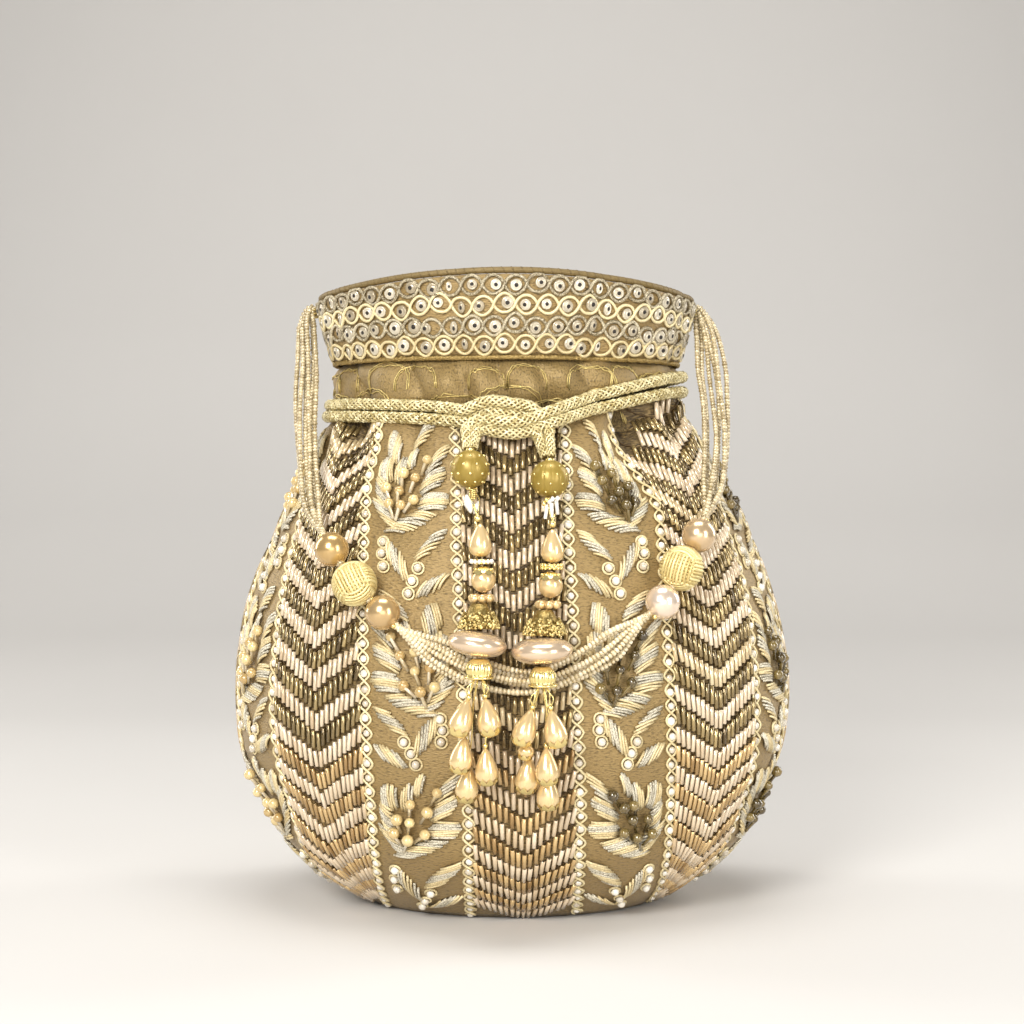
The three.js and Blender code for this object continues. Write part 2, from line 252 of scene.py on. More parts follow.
def neck_fold(phi, m):
    """How far the neck cloth stands out: gathered above the cord, pinched at it and tucked in below."""
    z = np.interp(m, np.linspace(0, 1, 200), spline(NECK[::-1], 200)[:, 1])
    low, high = cord_height(phi, LOWER_TURN, LOWER_KNOT), cord_height(phi, UPPER_TURN, UPPER_KNOT)
    gathers = np.abs(np.sin(9.5 * phi + 1.5 * np.sin(3 * phi) + 0.5 * np.sin(2 + 5 * m) + 0.4)) ** 0.6
    small = np.sin(23 * phi + 2.4 * np.sin(4 * phi) + 6 * m) * np.sin(2.2 + 9 * phi - 4 * m)
    bulge = np.sin(np.pi * np.clip((z - high + 2) / (NECK[-1][1] - high + 2.5), 0, 1)) ** 0.7
    pinch = smooth((high + 3 - z) / 4)
    tuck = smooth((low + 2.5 - z) / 3)
    gathered = 4.6 * bulge * (0.25 + 0.75 * gathers) + 0.9 * small * bulge - 1.8 * pinch * (1 - gathers)
    return gathered - 0.6 - 3.6 * tuck


def neck_at(phi, m, h=0.0):
    return neck_plain(phi, m, h + neck_fold(phi, m))


# ---------------------------------------------------------------- meshes
class Pile:
    """Many small pieces gathered into one mesh."""

    def __init__(self):
        self.verts, self.faces, self.mats, self.tints, self.count = [], [], [], [], 0

    def add(self, verts, faces, mat=0, tint=0.5):
        verts = np.asarray(verts, float).reshape(-1, 3)
        self.verts.append(verts)
        for f in faces:
            f = np.asarray(f, int)
            if len(f):
                self.faces += (f + self.count).tolist()
                self.mats += [mat] * len(f)
        self.tints.append(np.broadcast_to(np.asarray(tint, float), len(verts)))
        self.count += len(verts)

    def many(self, template, places, axes, mat=0, tint=None):
        """Copies of a template: axes holds each copy's three directions, with its scale, as rows."""
        verts, faces = template
        places, axes = np.asarray(places, float).reshape(-1, 3), np.asarray(axes, float).reshape(-1, 3, 3)
        n = len(places)
        if not n:
            return
        tint = rng.random(n) if tint is None else np.broadcast_to(tint, n)
        moved = np.einsum("vk,nkj->nvj", verts, axes) + places[:, None]
        offset = (np.arange(n) * len(verts))[:, None, None]
        copied = [(f[None] + offset).reshape(-1, f.shape[1]) for f in faces if len(f)]
        self.add(moved, copied, mat, np.repeat(tint, len(verts)))

    def build(self, name, materials, slot, body="bag", nodes=()):
        """One mesh piece that rides a body and stands in for CAD nodes; slot is not used."""
        mesh = bpy.data.meshes.new(name)
        mesh.from_pydata((np.vstack(self.verts) * MM).tolist(), [], self.faces)
        for m in materials:
            mesh.materials.append(m)
        mesh.polygons.foreach_set("material_index", self.mats)
        mesh.polygons.foreach_set("use_smooth", [True] * len(self.faces))
        a = mesh.attributes.new("tint", "FLOAT", "POINT")
        a.data.foreach_set("value", np.concatenate(self.tints).astype(np.float32))
        mesh.update()
        o = bpy.data.objects.new(name, mesh)
        bpy.context.scene.collection.objects.link(o)
        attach(o, body)
        if nodes:
            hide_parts(*nodes)
        return o


def turned(profile, sides, flute=None):
    """A template, as (verts, [triangles, quads]), turned about Z from (radius, height) points going up."""
    verts, rows = [], []
    for i, (r, z) in enumerate(profile):
        if r < 1e-6:
            rows.append([len(verts)])
            verts.append((0, 0, z))
        else:
            row = []
            for k in range(sides):
                a = 2 * math.pi * k / sides
                rr = r * (flute(a, i) if flute else 1)
                row.append(len(verts))
                verts.append((rr * math.cos(a), rr * math.sin(a), z))
            rows.append(row)
    tris, quads = [], []
    for a, b in zip(rows, rows[1:]):
        for k in range(sides):
            j = (k + 1) % sides
            if len(a) == 1 and len(b) > 1:
                tris.append((a[0], b[j], b[k]))
            elif len(b) == 1 and len(a) > 1:
                tris.append((a[k], a[j], b[0]))
            elif len(a) > 1:
                quads.append((a[k], a[j], b[j], b[k]))
    return np.array(verts, float), [np.array(tris, int).reshape(-1, 3), np.array(quads, int).reshape(-1, 4)]


def ball(sides, rows):
    t = np.linspace(-math.pi / 2, math.pi / 2, rows + 1)
    return turned([(0 if i in (0, rows) else math.cos(a), math.sin(a)) for i, a in enumerate(t)], sides)


def along(path):
    """The direction of a path at each of its points."""
    t = np.gradient(path, axis=0)
    return t / np.linalg.norm(t, axis=1, keepdims=True)


def carry(path):
    """Two directions across a path that turn as little as they can."""
    t = along(path)
    first = np.cross(t[0], [0.3, 0.5, 0.81])
    a = [first / np.linalg.norm(first)]
    for i in range(1, len(path)):
        v = a[-1] - a[-1] @ t[i] * t[i]
        a.append(v / np.linalg.norm(v))
    a = np.array(a)
    return a, np.cross(t, a)


def quads_of(rows, cols, close=True):
    """The faces of a grid of points; close joins the last column to the first."""
    i, k = np.meshgrid(np.arange(rows - 1), np.arange(cols if close else cols - 1), indexing="ij")
    j = (k + 1) % cols
    return np.stack([i * cols + k, i * cols + j, (i + 1) * cols + j, (i + 1) * cols + k], -1).reshape(-1, 4)


def tube(path, radius, sides=6, caps=True):
    """A tube along a path."""
    path = np.asarray(path, float)
    a, b = carry(path)
    n = len(path)
    angle = np.arange(sides) * 2 * math.pi / sides
    ring = np.cos(angle)[None, :, None] * a[:, None] + np.sin(angle)[None, :, None] * b[:, None]
    verts = path[:, None] + np.broadcast_to(np.asarray(radius, float), n)[:, None, None] * ring
    ends = [np.arange(sides)[None, ::-1], np.arange((n - 1) * sides, n * sides)[None]] if caps else []
    return verts.reshape(-1, 3), [quads_of(n, sides), *ends]


def grid(points, close=False):
    """A sheet from rows by columns of points."""
    return points.reshape(-1, 3), [quads_of(*points.shape[:2], close)[:, ::-1]]


def resample(path, step):
    """Points along a path, about a step apart."""
    path = np.asarray(path, float)
    return spaced(path, max(2, int(round(run_of(path)[-1] / step)) + 1))


def axes_from(normal, scale=1.0):
    """Directions whose third is the given one."""
    n = np.asarray(normal, float).reshape(-1, 3)
    n = n / np.linalg.norm(n, axis=1, keepdims=True)
    side = np.cross(n, [0.31, 0.47, 0.83])
    side /= np.linalg.norm(side, axis=1, keepdims=True)
    return np.stack([side, np.cross(n, side), n], 1) * np.reshape(scale, (-1, 1, 1))


# ---------------------------------------------------------------- materials
def rgb(r, g, b):
    """A shader's colour from an sRGB one."""
    return tuple(((c / 255 + 0.055) / 1.055) ** 2.4 if c > 10 else c / 255 / 12.92 for c in (r, g, b)) + (1,)


def material(name, color, rough=0.5, metal=0.0, other=None, tint=0.6, noise=(900, 0.25), bump=None, coat=0.0,
             sheen=0.0, stretch=(1, 1, 1), coords="Object", sub=0.0, trans=0.0):
    """color and other, in sRGB, are the two ends of the tint: the mesh's own "tint" and noise mix them.
    noise is (scale, strength) and bump (scale, strength, height in mm); coords is "Object" or the name of
    the mesh's attribute that places them."""
    m = bpy.data.materials.new(name)
    m.use_nodes = True
    nodes, link = m.node_tree.nodes, m.node_tree.links.new
    bsdf = nodes["Principled BSDF"]

    def math_node(op, a, b):
        n = nodes.new("ShaderNodeMath")
        n.operation = op
        for value, socket in ((a, n.inputs[0]), (b, n.inputs[1])):
            if isinstance(value, (int, float)):
                socket.default_value = value
            else:
                link(value, socket)
        return n.outputs[0]

    if coords == "Object":
        source = nodes.new("ShaderNodeTexCoord").outputs["Object"]
    else:
        n = nodes.new("ShaderNodeAttribute")
        n.attribute_name = coords
        source = n.outputs["Vector"]
    mapping = nodes.new("ShaderNodeMapping")
    mapping.inputs["Scale"].default_value = stretch
    link(source, mapping.inputs["Vector"])
    place = mapping.outputs["Vector"]

    def noise_at(scale, detail=3.0):
        n = nodes.new("ShaderNodeTexNoise")
        n.inputs["Scale"].default_value = scale
        n.inputs["Detail"].default_value = detail
        link(place, n.inputs["Vector"])
        return n.outputs["Fac"]

    attr = nodes.new("ShaderNodeAttribute")
    attr.attribute_name = "tint"
    own = math_node("MULTIPLY", math_node("SUBTRACT", noise_at(noise[0]), 0.5), noise[1] * 2)
    fac = math_node("ADD", math_node("MULTIPLY", attr.outputs["Fac"], tint), own)
    first = rgb(*color)
    mix = nodes.new("ShaderNodeMix")
    mix.data_type = "RGBA"
    link(fac, mix.inputs[0])
    mix.inputs[6].default_value = first
    mix.inputs[7].default_value = rgb(*other) if other else tuple(c * 0.7 for c in first[:3]) + (1,)
    link(mix.outputs[2], bsdf.inputs["Base Color"])
    for socket, value in {"Roughness": rough, "Metallic": metal, "Coat Weight": coat, "Coat Roughness": 0.08,
                          "Sheen Weight": sheen, "Subsurface Weight": sub, "Transmission Weight": trans,
                          "Subsurface Radius": (0.002, 0.0015, 0.001)}.items():
        bsdf.inputs[socket].default_value = value
    if bump:
        scale, strength, distance = bump
        b = nodes.new("ShaderNodeBump")
        b.inputs["Strength"].default_value = strength
        b.inputs["Distance"].default_value = distance * MM
        link(noise_at(scale, 2.0), b.inputs["Height"])
        link(b.outputs["Normal"], bsdf.inputs["Normal"])
    return m


# The cloth's dark colour gives the weave's dark threads and, through the mesh's tint, the painted shade
# between the beads and in the folds.
CLOTH = material("embroidered_cloth", (150, 125, 78), 0.48, 0.3, (60, 44, 18), 0.3, (1.0, 1.7),
                 (1.0, 1.0, 0.4), sheen=0.1, stretch=(640, 2100, 1), coords="layout")
# The neck tissue's dark colour gives the weave's dark threads and the painted shade in the neck's gathers.
TISSUE = material("neck_tissue", (144, 120, 72), 0.45, 0.3, (54, 40, 14), 0.5, (1.0, 1.7),
                  (1.0, 1.0, 0.35), sheen=0.1, stretch=(1900, 1300, 1), coords="layout")
SATIN = material("lining_satin", (205, 182, 140), 0.38, 0.0, (170, 145, 102), 0.3, (60, 0.3),
                 (1800, 0.3, 0.05), sheen=0.4)
CARD = material("base_card", (150, 130, 100), 0.9, 0.0, None, 0.2, (700, 0.3), (900, 0.5, 0.1))
PIPING = material("rim_piping", (128, 108, 66), 0.5, 0.3, (76, 58, 26), 0.5, (1400, 0.5), (2600, 0.8, 0.25))
BRAID = material("gold_braid", (176, 150, 92), 0.35, 0.6, (104, 80, 36), 0.5, (1800, 0.6), (2600, 0.9, 0.3))
BUGLE_DARK = material("bugle_olive", (186, 162, 110), 0.16, 0.65, (86, 68, 34), 0.9, (300, 0.15), coat=0.8)
BUGLE_BROWN = material("bugle_brown", (228, 196, 140), 0.18, 0.5, (150, 116, 66), 0.9, (300, 0.15),
                       coat=0.7)
BUGLE_LIGHT = material("bugle_champagne", (232, 214, 186), 0.15, 0.2, (194, 168, 130), 0.85, (300, 0.15),
                       coat=0.85)
BUGLE_GOLD = material("bugle_pale_gold", (226, 206, 166), 0.15, 0.3, (180, 154, 108), 0.8, (300, 0.15),
                      coat=0.85)
# A dark thread colour that also stands for painted shade in the gaps between the bugle rows.
STITCH_AND_GAP_SHADE = material("stitch_and_gap_shade", (92, 68, 30), 0.5, 0.2, (40, 28, 12), 0.8, (900, 0.4))
WIRE_SILVER = material("silver_coil", (230, 222, 200), 0.3, 0.3, (116, 100, 70), 0.4, (1900, 1.4),
                       (3400, 1.0, 0.4))
WIRE_GOLD = material("gold_coil", (236, 218, 172), 0.32, 0.25, (170, 144, 92), 0.5, (1900, 0.8),
                     (3400, 0.8, 0.3))
CORD_CREAM = material("cream_cord", (236, 220, 174), 0.4, 0.25, (186, 160, 104), 0.45, (1500, 0.5),
                      (3000, 0.8, 0.25))
CORD_GREY = material("silver_cord", (206, 194, 164), 0.34, 0.35, (104, 88, 60), 0.5, (1900, 1.6),
                     (3000, 1.0, 0.35))
STONE = material("white_stone", (246, 240, 226), 0.12, 0.1, (190, 176, 152), 0.9, (500, 0.4), coat=0.9)
CUP = material("silver_cup", (216, 206, 184), 0.22, 0.3, (150, 134, 104), 0.8, (400, 0.5), coat=0.6)
# A near-black colour for the cup stones' holes: painted shade inside the holes.
HOLE_SHADE = material("painted_hole_shade", (34, 26, 18), 0.6)
GOLD = material("gold_metal", (248, 228, 160), 0.22, 0.88, (222, 192, 108), 0.5, (800, 0.3),
                (1500, 0.25, 0.1))
GRIT = material("gold_grit", (238, 216, 148), 0.24, 0.7, (134, 110, 54), 0.9, (900, 0.5), (2600, 0.6, 0.2))
THREAD = material("gold_thread", (216, 194, 128), 0.34, 0.65, (150, 122, 60), 0.5, (1800, 0.5),
                  (3200, 0.8, 0.2))
PEARL = material("champagne_pearl", (250, 230, 210), 0.24, 0.68, (198, 164, 106), 1.0, (140, 0.1), coat=0.6)
CREAM_PEARL = material("cream_pearl", (236, 208, 156), 0.22, 0.5, (212, 176, 110), 0.6, (140, 0.2),
                       coat=0.8)
MATTE = material("matte_bead", (158, 134, 60), 0.34, 0.3, (124, 98, 32), 0.4, (260, 0.4),
                 (1400, 0.35, 0.12), sub=0.05)
# Two copies of one seed bead: the first, darker, is painted shade for the beads round the sides; the second,
# paler, is painted light for the beads at the front, where the key light falls.
SEED = material("seed_bead", (218, 202, 164), 0.14, 0.2, (150, 130, 90), 0.9, (900, 0.5), coat=0.9)
SEED_PAINTED_LIT = material("seed_bead_painted_lit", (238, 224, 192), 0.12, 0.08, (198, 176, 130), 0.75, (900, 0.5),
                      coat=0.9)
BUGLE_CLEAR = material("clear_bugle", (238, 226, 200), 0.12, 0.3, (186, 164, 116), 0.8, (700, 0.5),
                       coat=0.8)
SMOKY = material("olive_crystal", (150, 128, 74), 0.08, 0.1, (64, 50, 22), 0.9, (500, 0.5), coat=1.0,
                 trans=0.3)
AMBER = material("amber_crystal", (244, 220, 160), 0.08, 0.1, (190, 152, 88), 0.9, (500, 0.4), coat=1.0,
                 trans=0.2)
CRYSTAL = material("clear_crystal", (252, 250, 244), 0.06, 0.25, (214, 208, 198), 0.8, (700, 0.5), coat=1.0)
KNIT = material("knitted_cord", (246, 234, 188), 0.28, 0.45, (172, 152, 94), 0.9, (1500, 0.8),
                (2800, 0.8, 0.25))
# The core under the knitted strands is coloured dark: painted shade in the gaps between the strands.
KNIT_CORE_SHADE = material("cord_core_shade", (112, 92, 44), 0.6, 0.2, (80, 62, 26), 0.5, (900, 0.5))
WEAVE = material("woven_gold", (244, 228, 168), 0.34, 0.4, (190, 162, 92), 0.7, (1600, 0.4),
                 (3000, 0.7, 0.2))

# ---------------------------------------------------------------- templates
# Bead shapes that are sewn or threaded many times, along Z.
BUGLE = turned([(0.5, -2.95), (0.8, -2.8), (0.8, 2.8), (0.5, 2.95)], 7)
DOT = ball(6, 3)
SMALL = ball(8, 5)
ROUND = ball(14, 9)
FINE = ball(28, 18)
SEED_BEAD = turned([(0.4, -0.62), (0.86, -0.42), (0.96, 0), (0.86, 0.42), (0.4, 0.62)], 7)
CUP_STONE = turned([(1.95, -0.3), (2.1, 0.2), (1.95, 0.62), (1.6, 0.72), (1.45, 0.6), (1.05, 0.95),
                    (0.72, 1.05), (0.6, 0.85)], 12)
# A dark disc over a cup stone's hole: painted shade in the hole.
CUP_HOLE = turned([(0.76, 1.0), (0.6, 1.1), (0, 1.08)], 10)
GEM = turned([(1.3, -0.2), (1.42, 0.35), (1.15, 0.85), (0.6, 1.15), (0, 1.22)], 8)
GLASS = turned([(0, -1), (0.5, -0.86), (0.92, -0.4), (1, 0), (0.92, 0.4), (0.5, 0.86), (0, 1)], 9)
BICONE = turned([(0, -1), (0.35, -0.85), (1, 0), (0.35, 0.85), (0, 1)], 6)


def sew(pile, template, l, m, h, size, mat=0, stand=False):
    """Sews copies of a template on the bag: lying along its up line, or standing out from it."""
    p, u, v, n = frames(body_at, np.asarray(l, float), np.asarray(m, float), h)
    axes = np.stack([u, v, n] if stand else [u, -n, v], 1)
    pile.many(template, p, axes * np.reshape(size, (-1, 1, 1)), mat)


def lay_cord(pile, l, m, h, radius, mat, tint, sides=5):
    """Lays a thin cord on the bag."""
    pile.add(*tube(body_at(l, m, h), radius, sides), mat, tint)


# ---------------------------------------------------------------- panels
# Layout positions of the seams between panels, from the front to the back; the first is half a chevron panel.
HALF_SEAMS = [18.3, 51.5, 92, 125, 161, 194, 230, 263]
BASE_CLEAR = 3.0  # no bead is sewn nearer to the base's edge than this
ROW_PITCH, BEAD_PITCH = 6.75, 1.95
LAST_ROW = M_END - 3.1  # the lowest tip of the chevrons
V_DROP = 10.5  # how far a row's tip hangs below its ends
SEAM_ROOM, TOP_ROOM = 2.3, 3.4  # from a seam and from the cloth's top edge to the nearest bead
FAN = 0.13  # how far, in radians, a row's end beads turn outwards
STITCH_AND_SHADE_BELOW = 3.3  # from the middle of a dark row to the dark line under it: a stitch that also stands for painted shade in the gap between rows
LIFT = 0.75  # from the cloth to the middle of a bead
FOLD_AT, FOLD_HALF, FOLD_DEEP = 57, 4, 7  # a deep fold beside the knot that swallows its beads
BROWN_FROM = 0.62 * M_END  # the dark rows are brown below this depth


def chevron(left, right, name):
    """Rows of bugle beads in V shapes, dark and light by turns, with a dark line below each dark row: a stitch
    that also stands for painted shade in the gap between rows.
    """
    pile = Pile()
    middle, half = (left + right) / 2, (right - left) / 2 - SEAM_ROOM
    rows = int((LAST_ROW - M_TOP) / ROW_PITCH) + 1
    for row in range(rows):
        tip = LAST_ROW - row * ROW_PITCH
        dark = row % 2 == 1
        even = np.linspace(-half, half, 41)
        depth = tip - V_DROP * np.abs(even) / half
        run = run_of(body_at(middle + even, np.maximum(depth, -8))[:, :2])
        count = int(round(run[-1] / BEAD_PITCH))
        l = np.interp(np.linspace(0, run[-1], count), run, even)
        m = tip - V_DROP * np.abs(l) / half + 0.25 * rng.standard_normal(count)
        l = middle + l + 0.08 * rng.standard_normal(count)
        in_fold = (np.abs(l - FOLD_AT) < FOLD_HALF) & (m < FOLD_DEEP)
        keep = (m > top_of(l) + TOP_ROOM) & (m < M_END - BASE_CLEAR) & ~in_fold
        low = tip > BROWN_FROM
        mat = (1 if low else 0) if dark else (2 if rng.random() < 0.6 or low else 3)
        tilt = 0.035 * rng.standard_normal(count) - FAN * np.linspace(-1, 1, count)
        length = np.stack([np.ones(count), np.ones(count), 1 + 0.04 * rng.standard_normal(count)], 1)
        sunk = 1.1 * (1 - smooth((M_END - m[keep]) / 9))  # towards the base, so that it stands flat
        p, u, v, n = frames(body_at, l[keep], m[keep], LIFT - sunk)
        c, s = np.cos(tilt[keep])[:, None], np.sin(tilt[keep])[:, None]
        axes = np.stack([c * u + s * v, -n, c * v - s * u], 1) * length[keep][:, :, None]
        pile.many(BUGLE, p, axes, mat, np.clip(rng.normal(0.5, 0.28, keep.sum()), 0, 1.2))
        if dark:
            stitch = depth - STITCH_AND_SHADE_BELOW + 0.12 * rng.standard_normal(len(even))
            ok = (stitch > top_of(middle + even) + 1.0) & (stitch < M_END - BASE_CLEAR)
            if ok.sum() > 3:
                lay_cord(pile, middle + even[ok], stitch[ok], 0.35, 0.38, 4, 0.5, 4)
    pile.build(name, [BUGLE_DARK, BUGLE_BROWN, BUGLE_LIGHT, BUGLE_GOLD, STITCH_AND_GAP_SHADE], "embroidered_fabric")


GEM_PITCH = 4.9


def divider(pile, at):
    """A line of white stones down a seam, each between two cords that cross over."""
    m = np.arange(top_of(at) + 3.0, M_END - 2, GEM_PITCH)
    count = len(m)
    m = m + 0.18 * rng.standard_normal(count)
    l = at + 0.16 * rng.standard_normal(count)
    sew(pile, GEM, l, m, 0.15, 0.92 + 0.06 * rng.standard_normal(count), 0, True)
    fine = np.arange(m[0] - GEM_PITCH / 2, M_END - 2.5, GEM_PITCH / 6)
    turn = np.pi * (fine - fine[0]) / GEM_PITCH
    for side in (-1, 1):
        wave = side * 1.95 * np.sin(turn) + 0.1 * rng.standard_normal(len(fine))
        lay_cord(pile, at + wave, fine, 0.5 + 0.3 * side * np.cos(turn), 0.46, 1, rng.random(), 4)


WIRE_PITCH, WIRE_RADIUS = 0.84, 0.47


def feather(pile, centre, depth, mirror, petal, gold_first):
    """A leaf of coiled wires laid side by side, all pointing the same way."""
    u0, v0, u1, v1, angle, long = petal
    t = np.linspace(-0.5, 0.5, 5)
    way = math.radians(angle) + 0.05 * rng.standard_normal()
    reach = abs((u1 - u0) * math.sin(way) - (v1 - v0) * math.cos(way))
    count = max(3, round(reach / WIRE_PITCH) + 1)
    for i in range(count):
        f = i / (count - 1)
        rounded = 0.5 + 0.5 * math.sin(math.pi * (0.14 + 0.72 * f))
        size = 1.36 * long * rounded * rng.uniform(0.95, 1.06)
        turn = way + 0.035 * rng.standard_normal()
        du, dv = math.cos(turn), math.sin(turn)
        bend = 0.035 * size * np.cos(math.pi * t)
        u = u0 + (u1 - u0) * f + du * size * t - dv * bend
        v = v0 + (v1 - v0) * f + dv * size * t + du * bend
        m = np.clip(depth - v, top_of(centre + mirror * u) + 1.5, M_END - 4)
        h = 0.45 + 0.75 * np.cos(math.pi * t) ** 0.6
        gold = (i + gold_first) % 6 < 3
        lay_cord(pile, centre + mirror * u, m, h, WIRE_RADIUS, 3 if gold else 2, rng.random())


# A petal or leaf is (across and up of its first wire, of its last wire, the wires' angle and length),
# all about the flower's middle.
PETALS = [
    (-6.6, -10.2, -11.4, -2.0, 152, 7.0), (-10.6, -2.6, -11.0, 6.6, 132, 5.6),
    (-12.0, 9.6, -7.2, 9.8, 97, 7.4), (-5.4, 8.6, -1.8, 10.6, 88, 7.4), (-0.6, 13.8, 1.8, 14.6, 76, 6.4),
    (11.2, 16.8, 8.4, 10.2, 40, 7.6), (8.6, 8.8, 7.4, 2.6, 30, 7.6), (8.8, 0.6, 7.8, -5.0, 6, 8.0),
    (5.6, -6.4, -5.4, -12.6, -8, 7.6),
]
TOP_LEAVES = [(7.2, 26.4, 3.2, 19.4, 26, 6.8), (-10.4, 20.4, -5.0, 16.0, 80, 7.6)]
LEAVES = [(10.2, -13.4, 4.6, -21.6, 22, 7.0), (-7.6, -19.2, -0.8, -26.6, 98, 7.6),
          (4.0, -32.4, 11.6, -29.8, 52, 6.8)]
SPRIG_PEARLS = [(-9.4, -16.2), (-9.9, -20.4), (-9.3, -25.0), (3.0, -25.4), (0.8, -29.8), (-0.6, -34.0)]
STAMENS = [(6.1, 12.0), (-1.7, 8.1), (2.8, 5.8), (-7.6, 2.3), (-2.6, 1.4), (1.8, -2.4), (-8.2, -3.4),
           (-3.4, -4.8)]
STAMEN_FOOT = (-5.0, -9.5)
# Each flower: depth, facing, how its sprig is squeezed, and whether it has leaves above it.
FLOWERS = [(25, 1, 1.0, True), (86, -1, 0.84, True), (136, 1, 1.22, False)]
# A floral panel's materials, by their places in its list.
PANEL = [STONE, CORD_CREAM, WIRE_SILVER, WIRE_GOLD, AMBER, SMOKY, BUGLE_CLEAR]
AMBER_AT, SMOKY_AT, CLEAR_AT = (PANEL.index(m) for m in (AMBER, SMOKY, BUGLE_CLEAR))


def flower(pile, centre, depth, mirror, squeeze, topped, gem):
    sprig = [(u0, v0 * squeeze, u1, v1 * squeeze, angle, long * (0.4 + 0.6 * squeeze))
             for u0, v0, u1, v1, angle, long in LEAVES]
    for petal in PETALS + (TOP_LEAVES if topped else []) + sprig:
        feather(pile, centre, depth, mirror, petal, int(rng.integers(5)))
    for u, v in SPRIG_PEARLS:
        if depth - v * squeeze < M_END - BASE_CLEAR:
            ringed_pearl(pile, centre + mirror * u, depth - v * squeeze)
    for u, v in STAMENS:
        u, v = u + 0.5 * rng.standard_normal(), v + 0.5 * rng.standard_normal()
        height, size = rng.uniform(2.0, 2.8), rng.uniform(1.7, 2.1)
        sew(pile, GLASS, [centre + mirror * u], [depth - v], height, size, gem, True)
        au, av = STAMEN_FOOT[0] - u, STAMEN_FOOT[1] - v
        long = math.hypot(au, av)
        au, av = au / long, av / long
        t = np.array([0.6, 1.4, 5.4])
        stem = CLEAR_AT if gem == AMBER_AT else gem
        rise = np.array([3.1, 2.7, 1.4])
        lay_cord(pile, centre + mirror * (u + au * t), depth - (v + av * t), rise, 0.62, stem, rng.random(), 6)


def ringed_pearl(pile, l, m):
    sew(pile, SMALL, [l], [m], 0.9, 1.45)
    a = np.linspace(0, 2 * math.pi, 15)
    lay_cord(pile, l + 2.0 * np.cos(a), m + 2.0 * np.sin(a), 0.5, 0.4, 1, rng.random())


def floral(left, right, name, mirror, gem):
    """Three flowers one above the other, and a line of stones at each edge."""
    pile = Pile()
    centre = (left + right) / 2
    for depth, facing, squeeze, topped in FLOWERS:
        flower(pile, centre + 0.4 * mirror * facing, depth, mirror * facing, squeeze, topped, gem)
    divider(pile, left)
    divider(pile, right)
    pile.build(name, PANEL, "embroidered_fabric")


chevron(-HALF_SEAMS[0], HALF_SEAMS[0], "chevron_front")
for side, word in ((-1, "left"), (1, "right")):
    for k in (1, 3, 5):
        ends = sorted((side * HALF_SEAMS[k], side * HALF_SEAMS[k + 1]))
        chevron(*ends, f"chevron_{word}_{k}")
    for k in (0, 2, 4, 6):
        ends = sorted((side * HALF_SEAMS[k], side * HALF_SEAMS[k + 1]))
        gem = SMOKY_AT if side > 0 or k == 4 else AMBER_AT
        floral(*ends, f"floral_{word}_{k}", -side if k % 4 == 0 else side, gem)
chevron(HALF_SEAMS[7], 2 * HALF_ROUND - HALF_SEAMS[7], "chevron_back")


# ---------------------------------------------------------------- cloth
def cloth(name, points, layout, mat, nodes, slot, thick, close=True, tint=0.0):
    """A sheet of cloth, thickened inwards unless thick is 0; layout places the weave."""
    pile = Pile()
    pile.add(*grid(points, close), 0, tint)
    o = pile.build(name, [mat], slot, nodes=nodes)
    a = o.data.attributes.new("layout", "FLOAT_VECTOR", "POINT")
    a.data.foreach_set("vector", (layout.reshape(-1, 3) * MM).astype(np.float32).ravel())
    if thick:
        solid = o.modifiers.new("cloth", "SOLIDIFY")
        solid.thickness = thick * MM
        solid.offset = -1
    return o


def body_half(name, node, first, last):
    """Half of the bag's cloth, with painted shade: darker between the beads and in the folds."""
    l, share = np.meshgrid(np.linspace(first, last, 150), np.linspace(0, 1, 78))
    m = top_of(l) + (M_END - top_of(l)) * share
    beaded = np.digitize(np.abs(wrap(l)), HALF_SEAMS) % 2 == 0
    # painted shade: darker under the beaded panels, where shade falls between the beads (less so lower down),
    # and darker in the deep folds
    shade = np.maximum(beaded * (2.2 - 1.0 * smooth((m - 90) / 40)), np.clip(-puff(l, m) - 0.6, 0, 2.6))
    o = cloth(name, body_at(l, m), np.stack([l, m, 0 * l], -1), CLOTH, [node], "embroidered_fabric", 1.6,
              False, shade.ravel())


SIDE_SEAM = HALF_ROUND / 2
body_half("cloth_front", "body_front", -SIDE_SEAM, SIDE_SEAM)
body_half("cloth_back", "body_back", SIDE_SEAM, 3 * SIDE_SEAM)


RING_RADIUS, RING_HEIGHT = 60, 24  # the neck's and collar's, for laying out their weave


def turn_grid(where, around, down):
    phi, m = np.meshgrid(np.linspace(-math.pi, math.pi, around, endpoint=False), np.linspace(0, 1, down))
    return where(phi, m), np.stack([phi * RING_RADIUS, m * RING_HEIGHT, 0 * phi], -1)


points, layout = turn_grid(neck_at, 300, 20)
stands_out = neck_fold(layout[..., 0] / RING_RADIUS, layout[..., 1] / RING_HEIGHT)
# painted shade: the neck cloth is darker where it stands in, pinched and tucked in at the cord and in the
# hollows between its gathers
shade = np.clip((1.6 - stands_out) / 3, 0, 1.2)
neck_cloth = cloth("neck_cloth", points, layout, TISSUE, ["neck_frill"], "tissue_fabric", 0.9, True,
                   shade.ravel())
collar_cloth = cloth("collar_cloth", *turn_grid(collar_at, 260, 12), CLOTH, ["collar_band"],
                     "embroidered_fabric", 2.2)

LINING = [(64.6, 212.0), (61.6, 210.9), (59.2, 206.0), (58.0, 198.3), (54.4, 190.5), (50.6, 181.0),
          (50.6, 171.5), (56.5, 161.5), (68.0, 147.0), (80.0, 127.5), (89.9, 105.0), (93.6, 84.0),
          (91.0, 50.0), (84.0, 33.0), (72.0, 19.0), (62.0, 12.0), (50.0, 6.2), (30.0, 5.4), (4.0, 5.2)]


